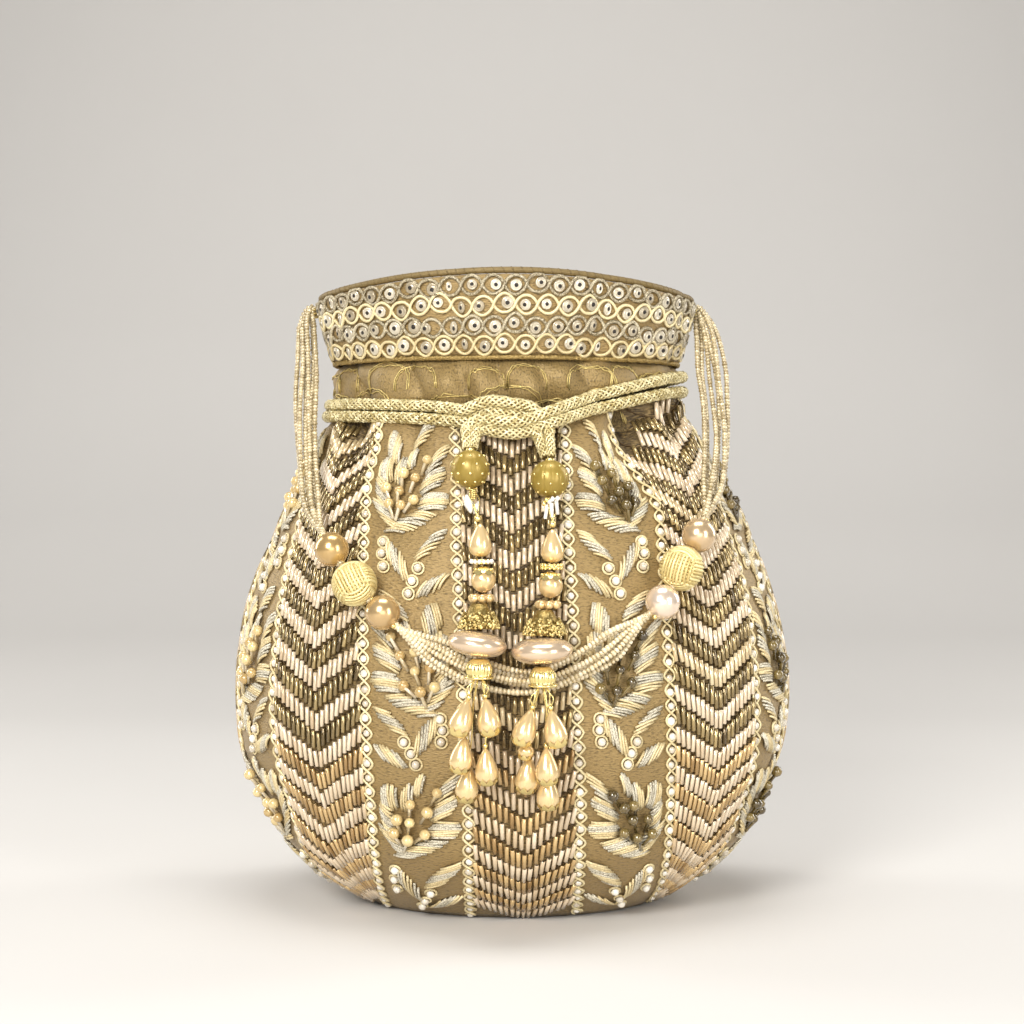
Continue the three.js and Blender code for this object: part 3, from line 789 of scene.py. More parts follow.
def lining_at(phi, m):
    line, share = spline(LINING, 200), np.linspace(0, 1, 200)
    r, z = np.interp(m, share, line[:, 0]), np.interp(m, share, line[:, 1])
    wave = 0.9 * np.sin(7 * phi + 9 * m) + 0.6 * np.sin(13 * phi - 5 * m)
    r = r - np.abs(wave * np.clip(m * 4, 0, 1) * np.clip((r - 20) / 30, 0, 1))
    up = np.clip((z - COLLAR_BASE) / (COLLAR_TOP - COLLAR_BASE), 0, 2)
    droop = RIM_DROOP * np.cos(phi) ** 2 * up
    return np.stack([r * np.sin(phi) + lean(z), -DEPTH * r * np.cos(phi), z + droop], -1)


lining = cloth("lining_cloth", *turn_grid(lining_at, 90, 44), SATIN, ["lining"], "lining_satin", 0.5)

BASE_RINGS = [(0.5, 0.0), (20, 0.0), (38, 0.0), (47.5, 0.0), (49.2, 0.25), (49.5, 0.8), (49.2, 1.4), (47, 1.6),
              (0.5, 1.6)]
phi = np.linspace(0, 2 * math.pi, 96, endpoint=False)
disc = np.array([[(r * math.sin(a), -DEPTH * r * math.cos(a), z) for a in phi] for r, z in BASE_RINGS])
base = cloth("base_cloth", disc, disc, CLOTH, ["base_cover"], "embroidered_fabric", 0, tint=0.5)
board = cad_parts["base_board"]
board.data.materials.clear()
board.data.materials.append(CARD)


# ---------------------------------------------------------------- trims
def closed(points, extra=1):
    return np.vstack([points, points[:extra]])


def braid(pile, path, radius, strand=1, ways=6, pitch=None, thick=0.2, step=0.9):
    """A round braid: strands winding both ways over a core. radius may change along the path."""
    fine = resample(path, step)
    share = np.linspace(0, 1, len(fine))
    r = np.interp(share, np.linspace(0, 1, np.size(radius)), np.atleast_1d(radius))
    # the core; where it takes a dark colour, that is painted shade between the strands
    pile.add(*tube(fine, 0.8 * r, 8))
    a, b = carry(fine)
    run = share * len(fine) * step
    pitch = pitch or 2 * math.pi * float(np.mean(r)) * 0.95
    for way in (-1, 1):
        for k in range(ways):
            w = way * 2 * math.pi * run / pitch + 2 * math.pi * k / ways
            over = 0.1 * r * way * np.cos(2 * math.pi * run * ways / pitch + math.pi * k)
            out = r * (1 - 0.5 * thick) - 0.1 * r + over
            line = fine + out[:, None] * (np.cos(w)[:, None] * a + np.sin(w)[:, None] * b)
            pile.add(*tube(line, thick * r, 4), strand, rng.random())


def collar_round(count, share, h, up):
    """The collar's outline at a share of its height, raised by up and closed."""
    phi = np.linspace(-math.pi, math.pi, count, endpoint=False)
    return closed(collar_at(phi, share, h) + [0, 0, up], 2)


# The rolled rim, with a thread wound round it.
pile = Pile()
pile.add(*tube(collar_round(240, 0, -1.0, 1.4), 1.1, 10), 0, 0.3)
FINE_STEPS, THREAD_TURNS = 1400, 130
fine = collar_round(FINE_STEPS, 0, -1.0, 1.4)
a, b = carry(fine)
turn = np.arange(len(fine)) * 2 * math.pi * THREAD_TURNS / FINE_STEPS
pile.add(*tube(fine + 0.85 * (np.cos(turn)[:, None] * a + np.sin(turn)[:, None] * b), 0.4, 4), 0, 0.9)
pile.build("rim_roll", [PIPING], "tissue_fabric", nodes=["rim_piping"])

pile = Pile()
braid(pile, collar_round(240, 1, 0.0, -0.6), 0.95, 0, ways=3, thick=0.42, step=1.1, pitch=4.5)
pile.build("edge_braid", [BRAID], "braid", nodes=["collar_braid"])

# Arched loops of gold thread on the neck, in two rows, each a double line.
pile = Pile()
LOOPS = 21
for row, (foot, top, wide) in enumerate(((0.42, 0.07, 0.98), (0.86, 0.36, 1.12))):
    for k in range(LOOPS):
        middle = (k + 0.5 * row + 0.16 * rng.standard_normal()) / LOOPS * 2 * math.pi - math.pi
        span = wide * rng.uniform(0.66, 1.16) * 2 * math.pi / LOOPS
        rise = foot - (foot - top) * rng.uniform(0.6, 1.05)
        for inner in (0, 1):
            a = np.linspace(0, math.pi, 24)
            size = 1 - 0.07 * inner
            phi = middle - 0.5 * span * size * np.sign(np.cos(a)) * np.abs(np.cos(a)) ** 0.75
            m = foot - (foot - rise) * size * np.sin(a) ** 0.6 + 0.012 * rng.standard_normal(24)
            pile.add(*tube(neck_at(phi, m, 0.3), 0.24, 4), 0, rng.random())
pile.build("neck_scallops", [THREAD], "braid")

# Rows of cup stones on the collar, each in an eye of two crossing cords.
pile = Pile()
STONES = 51
for row, share in enumerate((0.12, 0.355, 0.62, 0.865)):
    shift = 0.5 * (row % 2)
    gap = 2 * UNIT_HALF / STONES
    place = np.arange(STONES) + shift + 0.09 * rng.standard_normal(STONES)
    phi = np.interp((place * gap) % (2 * UNIT_HALF) - UNIT_HALF, _arc, _phi)
    lower = share + 0.022 * rng.standard_normal(STONES)
    p, u, v, n = frames(collar_at, phi, lower, 0.25, 0.01)
    tip = 0.16 * rng.standard_normal((STONES, 2))
    n = n + tip[:, :1] * u + tip[:, 1:] * v
    n /= np.linalg.norm(n, axis=1, keepdims=True)
    u = np.cross(v, n)
    squeeze = np.where(np.min([np.abs(phi - at) for at in CREASES], axis=0) < 0.06, 0.62, 1.0)
    size = 1.0 + 0.07 * rng.standard_normal(STONES)
    axes = np.stack([u * squeeze[:, None], v, n], 1) * size[:, None, None]
    pile.many(CUP_STONE, p, axes, 0)
    # the dark discs over the holes: painted shade
    pile.many(CUP_HOLE, p, axes, 1)
    f = np.arange(STONES * 9) / 9
    around = np.interp(((f + shift) * gap) % (2 * UNIT_HALF) - UNIT_HALF, _arc, _phi)
    drift = np.interp(f, np.arange(STONES + 1), np.append(lower - share, lower[0] - share))
    for side in (-1, 1):
        swap = np.where(np.floor(f + 0.5) % 2 < 1, side, -side)
        eye = share + drift + 0.117 * swap * np.abs(np.cos(math.pi * f)) ** 0.65
        over = 0.6 + 0.2 * side * np.sin(math.pi * f)
        line = closed(collar_at(around, eye, over))
        pile.add(*tube(line, 0.62, 4), 3 if row % 2 else 2, rng.random())
pile.build("collar_stones", [CUP, HOLE_SHADE, CORD_GREY, CORD_CREAM], "embroidered_fabric")

# ---------------------------------------------------------------- drawcord
CORD_RADIUS = 2.1
SHOULDER_ROOM = 1.2


# Half the width that the cord lies round, at each height.
CORD_LIES = np.array([(166, 65.8), (166.6, 65), (171.5, 61.2), (178, 59.3), (184.5, 59.4), (190.9, 60)])


def round_the_neck(points):
    deg, z = np.array(points, float).T
    turn = np.radians(-90 - deg)
    wide = np.interp(z, *CORD_LIES.T)
    clear = CORD_RADIUS + SHOULDER_ROOM
    return np.stack([(wide + clear) * np.cos(turn) + lean(z), (wide * DEPTH + clear) * np.sin(turn), z], 1)


for word, points in (("upper", UPPER_TURN), ("lower", LOWER_TURN)):
    path = spline(round_the_neck(points), 330)
    pile = Pile()
    braid(pile, path, CORD_RADIUS)
    o = pile.build(f"cord_{word}", [KNIT_CORE_SHADE, KNIT], "knit_cord", nodes=[f"drawcord_{word}"])


def pair(pile, points, half):
    """Two cords side by side; half is half the room between their middles, along the way."""
    path = spline(points, 60)
    t = along(path)
    side = np.stack([t[:, 2], 0 * t[:, 0], -t[:, 0]], 1)
    side /= np.linalg.norm(side, axis=1, keepdims=True)
    gap = np.interp(np.linspace(0, 1, 60), np.linspace(0, 1, len(half)), half)[:, None]
    for s in (-1, 1):
        braid(pile, path + s * gap * side, CORD_RADIUS, step=0.8)


# The knot, from the two cords that come from each side of the neck.
FROM_LEFT = [(-25.6, -48.6, 171.9), (-21.0, -51.4, 171.4), (-15.6, -54.3, 170.9), (-7.6, -56.8, 173.7),
             (-0.3, -57.2, 172.9), (6.0, -56.2, 171.6), (8.6, -56.8, 167.2), (10.0, -59.6, 164.4)]
FROM_RIGHT = [(28.2, -45.6, 175.8), (20.5, -51.8, 173.0), (12.5, -58.6, 170.0), (3.2, -61.0, 166.8),
              (-3.6, -61.0, 166.9), (-9.6, -59.6, 167.8), (-13.2, -59.6, 166.0), (-13.6, -61.0, 164.6)]
pile = Pile()
pair(pile, FROM_LEFT, [2.1, 2.0, 1.9, 1.9, 1.9, 1.9])
pair(pile, FROM_RIGHT, [2.1, 2.0, 1.9, 1.9, 1.9, 1.4])
pile.build("cord_knot", [KNIT_CORE_SHADE, KNIT], "knit_cord", nodes=["drawcord_knot"])

# ---------------------------------------------------------------- handle
LEFT_HANG, RIGHT_HANG = (-73.6, -1.6, 207.0), (68.6, -1.6, 207.0)
STITCH_HEIGHT = 209.5
LEFT_BEADS = [(-59.3, -65.5, 126.5), (-51.5, -70.3, 115.4), (-42, -74.8, 106.2)]
RIGHT_BEADS = [(61.9, -61, 131), (55.7, -65.8, 120.3), (49.2, -71, 109.4)]
LEFT_ROPE = [(-72.6, -13, 190), (-71, -32, 165), (-67.2, -51, 141)]
RIGHT_ROPE = [(70.2, -10, 196), (70.4, -27, 172), (68, -46, 149)]
FRONT_ROPE = [(-35.6, -76.2, 100.6), (-25, -79, 93.8), (-13, -81.8, 88), (0, -82.8, 84.6), (11, -82.4, 85.3),
              (27, -78.8, 92.4), (41.6, -73.6, 103.4)]
STRANDS = 6
SEED_PITCH = 1.42
LEFT_OVER = [(-70.6, 0.9, 208.6), (-71.8, 0.3, 211.0)]
RIGHT_OVER = [(66.6, 0.3, 211.0), (65.6, 0.9, 208.6)]
BEADS = LEFT_BEADS + RIGHT_BEADS
ROPE_NODES = ["handle_rope_left", "handle_rope_front", "handle_rope_right"]
rope = spline([*LEFT_OVER, LEFT_HANG, *LEFT_ROPE, *LEFT_BEADS, *FRONT_ROPE,
               *RIGHT_BEADS[::-1], *RIGHT_ROPE[::-1], RIGHT_HANG, *RIGHT_OVER], 800)
rope_run = run_of(rope)
bead_runs = [rope_run[np.argmin(np.linalg.norm(rope - b, axis=1))] for b in BEADS]
rope_t = along(rope)
rope_side = np.stack([rope_t[:, 2], 0 * rope_t[:, 0], -rope_t[:, 0]], 1)
rope_side /= np.linalg.norm(rope_side, axis=1, keepdims=True)
rope_deep = np.cross(rope_side, rope_t)
# The strands are tight this near to a bead, and spread this far from the middle once past it.
TIGHT, OPENING = 5.5, 20.0
FRONT_SPREAD, LEFT_SPREAD, RIGHT_SPREAD = 4.1, 2.8, 4.2
PALE_HALF = 42  # the front's beads, painted paler as lit by the key light, reach this far to each side
near_bead = np.min([np.abs(rope_run - b) for b in bead_runs], axis=0)
in_front = (rope_run > bead_runs[2]) & (rope_run < bead_runs[5])
widest = np.where(in_front, FRONT_SPREAD, np.where(rope[:, 0] < 0, LEFT_SPREAD, RIGHT_SPREAD))
spread = smooth((near_bead - TIGHT) / OPENING) * widest + 0.25
ends = np.minimum(rope_run, rope_run[-1] - rope_run)
spread = np.minimum(spread, 0.9 + 1.8 * smooth(ends / 12) + 2.1 * smooth(ends / 45))
for k in range(STRANDS):
    lane = (k - (STRANDS - 1) / 2) / ((STRANDS - 1) / 2)
    p1, p2, q = rng.uniform(0, 2 * math.pi, 3)
    across = lane + 0.16 * np.sin(rope_run / 17 + p1) + 0.05 * np.sin(rope_run / 7.3 + p2)
    deep = 0.34 * np.sin(rope_run / 15 + q) + 0.3 * (-1) ** k
    line = rope + (spread * across)[:, None] * rope_side + (spread * deep)[:, None] * rope_deep
    line = resample(line, 0.5)
    seeds = resample(line, SEED_PITCH)
    clear = np.min([np.linalg.norm(seeds - b, axis=1) for b in BEADS], axis=0) > 5.2
    t, seeds = along(seeds)[clear], seeds[clear]
    size = 1 + 0.06 * rng.standard_normal(len(seeds))
    front = np.abs(seeds[:, 0]) < PALE_HALF
    axes = axes_from(t, size * np.where(front, 1.07, 1.0))
    pile = Pile()
    # painted light and shade: the side beads take the darker copy, the front beads the paler, lit copy
    pile.many(SEED_BEAD, seeds[~front], axes[~front], 0)
    pile.many(SEED_BEAD, seeds[front], axes[front], 2)
    pile.add(*tube(resample(line, 3.0), 0.34, 5), 1, 0.5)
    o = pile.build(f"bead_strand_{k + 1}", [SEED, THREAD, SEED_PAINTED_LIT], "seed_bead", "handle", ROPE_NODES)
    resample(line, 2.0)


def single(name, node, body, slot, mats, parts):
    """One piece from (template, places, axes, material's place, tint) parts, instead of a CAD node."""
    pile = Pile()
    for part in parts:
        pile.many(*part)
    pile.build(name, mats, slot, body, [node])


def upright(scale=1.0):
    return axes_from((0, 0, 1), scale)


PEARL_RADIUS, WOVEN_RADIUS = 5.75, 7.3
PEARL_TINTS = {("left", "upper"): 1.0, ("left", "lower"): 0.9,
               ("right", "upper"): 0.7, ("right", "lower"): 0.1}
WOVEN_TURNS = {"left": np.array(Matrix.Rotation(0.5, 3, "X") @ Matrix.Rotation(0.5, 3, "Y")),
               "right": np.array(Matrix.Rotation(0.35, 3, "Z") @ Matrix.Rotation(-0.3, 3, "Y"))}


def handle_pearls(word, beads):
    """A side's two pearls, each with a gold end at its holes."""
    line = np.subtract(beads[2], beads[0])
    d = line / np.linalg.norm(line)
    for which, centre in (("upper", beads[0]), ("lower", beads[2])):
        parts = [(FINE, [centre], axes_from(line, PEARL_RADIUS), 0, PEARL_TINTS[word, which])]
        for s in (-1, 1):
            parts.append((SMALL, [np.add(centre, s * d * PEARL_RADIUS * 1.02)], axes_from(line, 0.9), 1, 0.5))
        single(f"pearl_{word}_{which}", f"{word}_{which}_pearl", "handle", "champagne_pearl", [PEARL, GOLD],
               parts)


def woven_ball(word, centre):
    """A ball woven from bands of gold thread: three sets of rings, each over and under by turns."""
    pile = Pile()
    c = np.array(centre, float)
    pile.many(ROUND, [c], upright(WOVEN_RADIUS * 0.9), 0, 0.9)
    t = np.linspace(0, 2 * math.pi, 49)
    lift = np.where(np.abs(np.cos(t)) > np.abs(np.sin(t)), 0.965, 0.9) * WOVEN_RADIUS
    for i in range(3):
        axis, first, second = (WOVEN_TURNS[word][(i + n) % 3] for n in range(3))
        for h in np.linspace(-0.64, 0.64, 9):
            r = math.sqrt(1 - h * h)
            ring = r * np.cos(t)[:, None] * first + r * np.sin(t)[:, None] * second + h * axis
            pile.add(*tube(c + ring * lift[:, None], 0.52, 5, caps=False), 0, rng.random())
    pile.build(f"woven_{word}", [WEAVE], "woven_thread", "handle", [f"{word}_woven_ball"])


def stitch(word, x):
    """Crossing stitches that hold the strands on the collar."""
    pile = Pile()
    for k in range(5):
        z = STITCH_HEIGHT - 1.4 + 0.7 * k
        cross = [(x + 1.2 * s, 1.6 * s * (-1) ** k, z + 0.3 * s) for s in (-1, 0, 1)]
        pile.add(*tube(cross, 0.34, 6), 0, rng.random())
    pile.build(f"stitch_{word}", [THREAD], "gold_metal", nodes=[f"handle_stitch_{word}"])


for word, beads, stitch_x in (("left", LEFT_BEADS, -70), ("right", RIGHT_BEADS, 65)):
    handle_pearls(word, beads)
    woven_ball(word, beads[1])
    stitch(word, stitch_x)

# ---------------------------------------------------------------- tassels
PEAR, BALL = (3.75, 12), (2.7, 5.6)  # the drops' radius and length
# The middles of a tassel's pieces; a drop is its bottom, where its thread starts across, and its size.
TASSELS = {
    "left": {
        "swing": (-13.5, -61, 165.3), "tail_end": (-13.7, -65.8, 160.6), "tail": (1.75, 1.35),
        "matte": (-13.7, -67.4, 152.9), "link": (-12.6, -70.5, 142.1), "tip": (-11.2, -73, 136.7),
        "teardrop": (-10.3, -75, 129.7), "spacer": (-9.8, -77.6, 122.9), "pearl": (-9.2, -79.5, 116.9),
        "pearls": (-9.8, -81.6, 111.25), "bell": (-10.6, -84.6, 105.8), "bell_radius": 6.65,
        "saucer": (-11, -90, 97.2), "saucer_size": (9.5, 4.0), "tilt": 8, "cap": (-10.4, -91.6, 89.5),
        "thread_top": 85.8,
        "drops": [((-17.4, -94, 68.4), (-12, -92.6), PEAR), ((-6.6, -94, 68.4), (-9.2, -92.6), PEAR),
                  ((-17, -87.8, 55.9), (-12, -89.8), PEAR), ((-7.9, -86.6, 51.9), (-9.4, -89.8), PEAR),
                  ((-14.9, -82.6, 45.9), (-10.9, -88.4), PEAR)],
    },
    "right": {
        "swing": (10.2, -61.5, 164.6), "tail_end": (11.9, -66.4, 157.9), "tail": (2.2, 1.45),
        "matte": (12.4, -68.8, 149.6), "link": (12.8, -72, 139.7), "tip": (13.1, -74, 134.9),
        "teardrop": (13.1, -76, 127.9), "spacer": (12.8, -78, 121.3), "pearl": (12.4, -80, 115.2),
        "pearls": (11.6, -82.2, 109.2), "bell": (10.4, -84.8, 103.7), "bell_radius": 7.0,
        "saucer": (9.5, -90.2, 95), "saucer_size": (9.8, 4.2), "tilt": -3, "cap": (9.7, -91.8, 87),
        "thread_top": 83.3,
        "drops": [((2.5, -94.2, 65.4), (8.4, -93), PEAR), ((14.6, -94.2, 64.8), (11, -93), PEAR),
                  ((3.9, -89.3, 60.2), (8.2, -89.8), BALL), ((11.3, -89.4, 52.2), (10.2, -90.2), PEAR),
                  ((4.2, -84.6, 49.1), (8.6, -88.6), PEAR), ((11.7, -82.7, 43.4), (10, -88.2), PEAR)],
    },
}


def pod(radius, length, start=0.0, sides=26):
    """A pear shape that stands on its round end."""
    shape = [(0, 0), (0.36, 0.015), (0.64, 0.055), (0.86, 0.13), (0.97, 0.22), (1.0, 0.31), (0.965, 0.42),
             (0.87, 0.54), (0.72, 0.66), (0.54, 0.78), (0.37, 0.88), (0.2, 0.96), (0, 1.0)]
    return turned([(radius * r, start + length * z) for r, z in shape], sides)


def zigzag_cup(radius, points=9):
    """A thin gold cup with a toothed edge that holds the bottom of a drop pearl."""
    verts, sides = [], points * 4
    for k in range(sides):
        a = 2 * math.pi * k / sides
        tooth = (0.0, 0.5, 1.0, 0.5)[k % 4]
        for out, lift in ((0.35, -0.35), (0.78, -0.1), (1.02 + 0.1 * tooth, 0.42 + 0.75 * tooth)):
            verts.append((radius * out * math.cos(a), radius * out * math.sin(a), radius * 0.36 * lift * 1.6))
    nexts = [3 * ((k + 1) % sides) for k in range(sides)]
    quads = [(3 * k + i, nexts[k] + i, nexts[k] + i + 1, 3 * k + i + 1)
             for k in range(sides) for i in range(2)]
    return np.array(verts), [np.array(quads)]


def hang(word, name, node, slot, mats, parts):
    """One piece of a tassel."""
    single(f"{name}_{word}", f"{word}_{node}", f"{word}_tassel", slot, mats, parts)


def circle(centre, radius, count, first=0.0, up=0.0):
    """Points round an upright axis."""
    angles = np.linspace(0, 2 * math.pi, count, endpoint=False) + first
    return [centre + np.array([radius * math.cos(a), radius * math.sin(a), up]) for a in angles]


def tail(word, t):
    """The doubled cord between the knot and the first bead."""
    pile = Pile()
    top, low = np.array(t["swing"], float), np.array(t["tail_end"], float) + (0, 0, -1.2)
    path = spline([top + (0, 1.2, 1.2), top, (top + low) / 2, low], 24)
    wide = np.linspace(t["tail"][0], t["tail"][1] * 0.75, 24)[:, None]
    for s in (-1, 1):
        braid(pile, path + s * wide * [1, 0, 0], np.linspace(1.0, 0.72, 24) * CORD_RADIUS, step=0.7)
    pile.build(f"tail_{word}", [KNIT_CORE_SHADE, KNIT], "knit_cord", f"{word}_tassel", [f"{word}_cord_tail"])


MATTE_RADIUS = 6.3
MATTE_GROOVES, MATTE_DOT = {"left": 8, "right": 14}, {"left": 0.62, "right": 0.45}
END_RING = turned([(0.5, -0.6), (1.3, -0.5), (1.5, 0), (1.2, 0.5), (0.5, 0.6)], 16)


def matte_bead(word, t):
    """A matte bead with fine grooves, raised dots and a gold ring at each end."""
    c = np.array(t["matte"], float)
    meridian = [(0, -1.0), *[(math.cos(q), math.sin(q)) for q in np.linspace(-1.45, 1.45, 21)], (0, 1.0)]
    shell = turned(meridian, 112, lambda a, i: 1 - 0.022 * max(0.0, math.cos(MATTE_GROOVES[word] * a)) ** 8)
    outs = []
    for lat in (-0.75, -0.25, 0.25, 0.75):
        for k in range(9):
            a = 2 * math.pi * (k + 0.5 * (lat in (-0.25, 0.75))) / 9 + 0.2
            outs.append(np.array([math.cos(lat) * math.cos(a), math.cos(lat) * math.sin(a), math.sin(lat)]))
    spots = [c + d * MATTE_RADIUS * 0.985 for d in outs]
    parts = [(shell, [c], upright(MATTE_RADIUS), 0, 0.4),
             (DOT, spots, axes_from(outs, MATTE_DOT[word]), 1, 0.3)]
    parts += [(END_RING, [c + (0, 0, s * MATTE_RADIUS)], upright(), 1, 0.3) for s in (-1, 1)]
    hang(word, "matte", "matte_bead", "matte_bead", [MATTE, GOLD], parts)


def crystal_link(word, t):
    """Crystals, and on the left a little spring of wire, between the matte bead and the pearls."""
    pile = Pile()
    c = np.array(t["link"], float)
    hi, lo = np.array(t["matte"], float) + (0.3, -1.0, -6.0), np.array(t["tip"], float)
    if word == "left":
        q = np.linspace(0, 2 * math.pi * 5, 90)
        spring = hi + (0.6, -0.6, -0.4) + np.stack([1.1 * np.cos(q), 1.1 * np.sin(q), -3.4 * q / q[-1]], 1)
        pile.add(*tube(spring, 0.3, 5), 1, 0.4)
        for place, up, size, tint in (((-1.5, -1.2, -0.6), (-0.25, 0.1, 1), (1.7, 1.7, 3.3), 0.1),
                                      ((0.9, 0.2, -1.8), (0.35, 0.1, 1), (1.1, 1.1, 2.4), 0.6)):
            pile.many(BICONE, [c + place], axes_from(up) * np.array(size)[None, :, None], 0, tint)
    else:
        for dx, dz, lean_x in ((-1.7, -0.8, 0.15), (0.1, -0.3, 0.0), (1.8, 0.6, -0.12)):
            pile.many(BUGLE, [c + (dx, -1.4, dz)], axes_from((lean_x, 0.1, 1), 0.8), 0, rng.random())
        for dx, dz in ((-1.6, 3.1), (0.4, 3.4), (2.0, 3.6), (-2.5, 1.9), (-0.6, 2.4)):
            pile.many(BICONE, [c + (dx, -1.2, dz)], upright(0.95), 1 if dx < -1 else 0, rng.random())
    pile.add(*tube([hi, c, lo], 0.3, 6), 1, 0.5)
    for turn in (0.0, 2.1, 4.2):
        w = [hi + (0, 0, 0.4), c + (1.9 * math.cos(turn), 1.9 * math.sin(turn) - 0.4, 1.0), lo + (0, 0, 0.6)]
        pile.add(*tube(spline(w, 12), 0.17, 4), 1, 0.3)
    pile.build(f"link_{word}", [CRYSTAL, GOLD], "crystal", f"{word}_tassel", [f"{word}_crystal_link"])


TIP = turned([(0.35, -1.0), (0.8, -0.8), (1.1, 0), (0.8, 0.8), (0.35, 1.0), (0.3, 0.6)], 16)
SPACER = turned([(0, -0.75), (3.1, -0.75), (3.3, -0.5), (3.3, 0.5), (3.1, 0.75), (0, 0.75)], 28)


def teardrop(word, t):
    """A gold tip, a pear-shaped pearl and a gold ring set with crystals or with gold grains."""
    hang(word, "tip", "tip_ball", "gold_metal", [GOLD], [(TIP, [t["tip"]], upright(1.15), 0, 0.3)])
    pear = (pod(3.8, 11, -5.5, 32), [t["teardrop"]], upright(), 0, 0.3)
    single(f"teardrop_{word}_bead", f"{word}_teardrop", f"{word}_tassel", "cream_pearl", [CREAM_PEARL], [pear])
    c = np.array(t["spacer"], float)
    parts = [(SPACER, [c], upright(), 1, 0.3)]
    if word == "left":
        parts.append((BICONE, circle(c, 3.35, 14), upright(0.82).repeat(14, 0), 0))
    else:
        parts += [(SMALL, circle(c, 3.3, 14, 0, up), upright(0.6).repeat(14, 0), 1) for up in (0.45, -0.5)]
    hang(word, "spacer", "spacer_ring", "gold_metal", [CRYSTAL, GOLD], parts)


def round_pearl(word, t):
    """A cap of petals over a round pearl, with a ring of small pearls below."""
    c = np.array(t["pearl"], float)
    verts, faces = turned([(0.6, 1.14), (1.6, 1.09), (2.6, 0.93), (3.35, 0.72), (3.9, 0.42)], 48)
    a = np.arctan2(verts[:, 1], verts[:, 0])
    r = np.hypot(verts[:, 0], verts[:, 1])
    verts[:, 2] = np.sqrt(np.maximum(0, 4.5**2 - r**2)) + 0.05
    verts[:, 2] -= np.where(r > 3.5, 0.7 * (np.cos(6 * a) < 0) - 0.25, 0)
    dots = [c + 4.55 * d for d in circle(0, 0.62, 12, 0, 0.78)]
    hang(word, "petals", "petal_cap", "gold_metal", [GOLD],
         [((verts, faces), [c], upright(), 0, 0.3), (SMALL, dots, upright(0.45).repeat(12, 0), 0)])
    hang(word, "ball", "round_pearl", "champagne_pearl", [CREAM_PEARL], [(FINE, [c], upright(4.0), 0, 0.4)])
    around = circle(np.array(t["pearls"], float), 3.0, 7, 0.3)
    hang(word, "small_pearls", "pearl_ring", "champagne_pearl", [CREAM_PEARL],
         [(ROUND, around, upright(1.42).repeat(7, 0), 0)])


BELL_GRAINS, BELL_HALF = 330, 3.9


def bell(word, t):
    """A bell crusted with cut gold beads."""
    pile = Pile()
    c = np.array(t["bell"], float)
    wide, half = t["bell_radius"], BELL_HALF
    line = np.array([(3.0, half), (4.4, 1.6), (0.9 * wide, -1.9), (0.98 * wide, -half)])
    core = [(0, -half), *[(r - 0.5, z) for r, z in line[::-1]], (0, half)]
    # the core takes the grit's dark colour: painted shade between the grains
    pile.many(turned(core, 24), [c], upright(), 0, 1.0)
    for _ in range(BELL_GRAINS):
        z = half - 2 * half * math.sqrt(rng.uniform(0.12, 1))
        r = np.interp(-z, -line[:, 1], line[:, 0])
        a = rng.uniform(0, 2 * math.pi)
        n = np.array([math.cos(a), math.sin(a), 0.35])
        axes = axes_from(n + 0.6 * rng.standard_normal(3), rng.uniform(0.42, 0.7))
        pile.many(BICONE, [c + (r * math.cos(a), r * math.sin(a), z)], axes, 0, rng.random())
    pile.build(f"grit_{word}", [GRIT], "gold_metal", f"{word}_tassel", [f"{word}_bell"])


CUP_LINE = [(0, -3.2), (4.4, -3.2), (3.6, -2.1), (4.0, -1.2), (4.15, -0.2), (3.9, 0.9), (3.3, 2.0), (2.5, 2.8),
            (2.0, 3.1), (0, 3.1)]
FLUTED_CUP = turned(CUP_LINE, 100, lambda a, i: 1 + 0.05 * math.cos(20 * a) * (2 <= i <= 7))
FLANGE = turned([(3.5, -3.2), (4.5, -3.25), (4.75, -2.9), (4.7, -2.45), (4.2, -2.3), (3.4, -2.3)], 40)


def saucer(word, t):
    """A flat pearl, a little tilted, and the fluted cap below it."""
    wide, tall = t["saucer_size"]
    lens = [(0, -1)] + [(math.cos(q) ** 0.8, math.sin(q)) for q in np.linspace(-1.5, 1.5, 25)] + [(0, 1)]
    tilt = math.radians(t["tilt"])
    spin = np.array([[[math.cos(tilt), 0, -math.sin(tilt)], [0, 1, 0], [math.sin(tilt), 0, math.cos(tilt)]]])
    flat = turned([(wide * r, tall * z) for r, z in lens], 56)
    hang(word, "saucer", "saucer_pearl", "champagne_pearl", [PEARL], [(flat, [t["saucer"]], spin, 0, 0.45)])
    hang(word, "cap", "fluted_cap", "gold_metal", [GOLD],
         [(FLUTED_CUP, [t["cap"]], upright(), 0, 0.3), (FLANGE, [t["cap"]], upright(), 0, 0.1)])


def pearl_drop(word, i, bottom, top, radius, long):
    """A pearl on two gold threads, in a toothed cup."""
    bottom, top = np.array(bottom, float), np.array(top, float)
    d = (top - bottom) / np.linalg.norm(top - bottom)
    axes = axes_from(d)
    pile = Pile()
    if (radius, long) == PEAR:
        pile.many(pod(radius, long), [bottom], axes, 0, 0.3)
    else:
        pile.many(FINE, [bottom + d * radius], axes * np.array([1, 1, 0.92])[None, :, None] * radius, 0, 0.5)
    pile.many(zigzag_cup(radius * 0.9), [bottom + d * 0.35], axes, 1, 0.4)
    neck = bottom + d * (long + 0.7)
    pile.many(SMALL, [neck], axes * 0.95, 1, 0.2)
    middle = (neck + top) / 2 + (0.8 * (-1) ** i, -0.3, 0.4)
    for s in (-1, 1):
        strand = spline([neck, middle + (0.35 * s, 0, 0), top], 14)
        strand[1:-1, 0] += 0.3 * s * np.sin(np.linspace(0, 5, 12))
        pile.add(*tube(strand, 0.21, 5), 1, 0.4)
    pile.build(f"pearl_drop_{word}_{i}", [CREAM_PEARL, GOLD], "cream_pearl", f"{word}_tassel",
               [f"{word}_drop_{i}"])


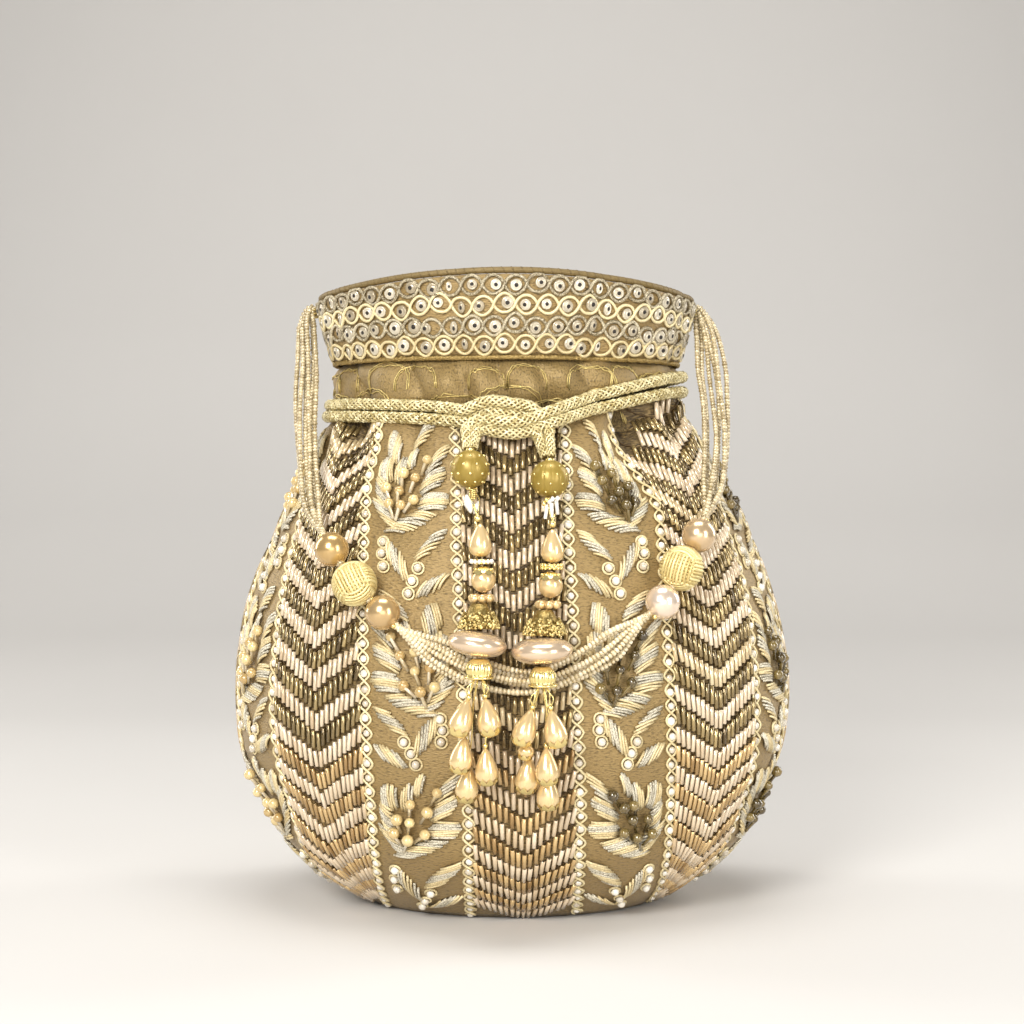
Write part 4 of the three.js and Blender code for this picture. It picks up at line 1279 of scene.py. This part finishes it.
for word, t in TASSELS.items():
    for piece in (tail, matte_bead, crystal_link, teardrop, round_pearl, bell, saucer):
        piece(word, t)
    for i, (bottom, across, size) in enumerate(t["drops"], 1):
        pearl_drop(word, i, bottom, (*across, t["thread_top"]), *size)

# ---------------------------------------------------------------- floor, light and camera
# A floor that curves up behind the bag; from here on everything is in metres.
floor = bpy.data.meshes.new("floor")
curve = [(-3.0, 0.0), (0.6, 0.0), (0.9, 0.03), (1.1, 0.12), (1.22, 0.3), (1.26, 0.6), (1.28, 3.0)]
edges = [(x, y, z) for y, z in curve for x in (-4.0, 4.0)]
floor.from_pydata(edges, [], [(2 * i, 2 * i + 1, 2 * i + 3, 2 * i + 2) for i in range(len(curve) - 1)])
floor.materials.append(material("pale_stage", (206, 203, 199), 0.75, 0, (196, 191, 186), 0.0, (3, 0.3)))
floor_object = bpy.data.objects.new("floor", floor)
bpy.context.scene.collection.objects.link(floor_object)
for poly in floor.polygons:
    poly.use_smooth = True

bpy.context.scene.view_settings.view_transform = "Standard"
world = bpy.data.worlds.new("studio")
bpy.context.scene.world = world
world.use_nodes = True
background = world.node_tree.nodes["Background"]
background.inputs["Color"].default_value = (1.0, 0.99, 0.98, 1)
background.inputs["Strength"].default_value = 0.26


def area_light(name, place, target, size, power):
    """A panel of light that faces the target."""
    data = bpy.data.lights.new(name, "AREA")
    data.shape = "RECTANGLE"
    data.size, data.size_y = size
    data.energy = power
    data.color = (1, 0.99, 0.97)
    o = bpy.data.objects.new(name, data)
    bpy.context.scene.collection.objects.link(o)
    z = np.array(place, float) - target
    z /= np.linalg.norm(z)
    x = np.cross([0, 0, 1], z)
    x /= np.linalg.norm(x)
    turned_there = np.column_stack([x, np.cross(z, x), z, place])
    o.matrix_world = Matrix(np.vstack([turned_there, [0, 0, 0, 1]]).tolist())


area_light("key", (-0.4, -1.05, 0.62), (0, 0, 0.11), (0.4, 0.5), 14)
area_light("fill", (0.8, -0.9, 0.3), (0, 0, 0.1), (0.3, 0.7), 6)
area_light("front", (0.1, -1.8, 0.25), (0, 0, 0.1), (1.0, 0.6), 6)
area_light("top", (0.0, -0.1, 1.2), (0, 0, 0.1), (0.7, 0.45), 7)
area_light("back_left", (-0.9, 0.4, 0.5), (0, 0, 0.12), (0.3, 0.8), 5)
area_light("back_right", (0.9, 0.4, 0.5), (0, 0, 0.12), (0.3, 0.8), 5)

cam_data = bpy.data.cameras.new("camera")
cam_data.lens, cam_data.sensor_width = 73.2, 36
camera = bpy.data.objects.new("camera", cam_data)
camera.location = (0, -0.750, 0.146)
camera.rotation_euler = (math.radians(90 - 0.605), 0, 0)
bpy.context.scene.collection.objects.link(camera)
bpy.context.scene.camera = camera
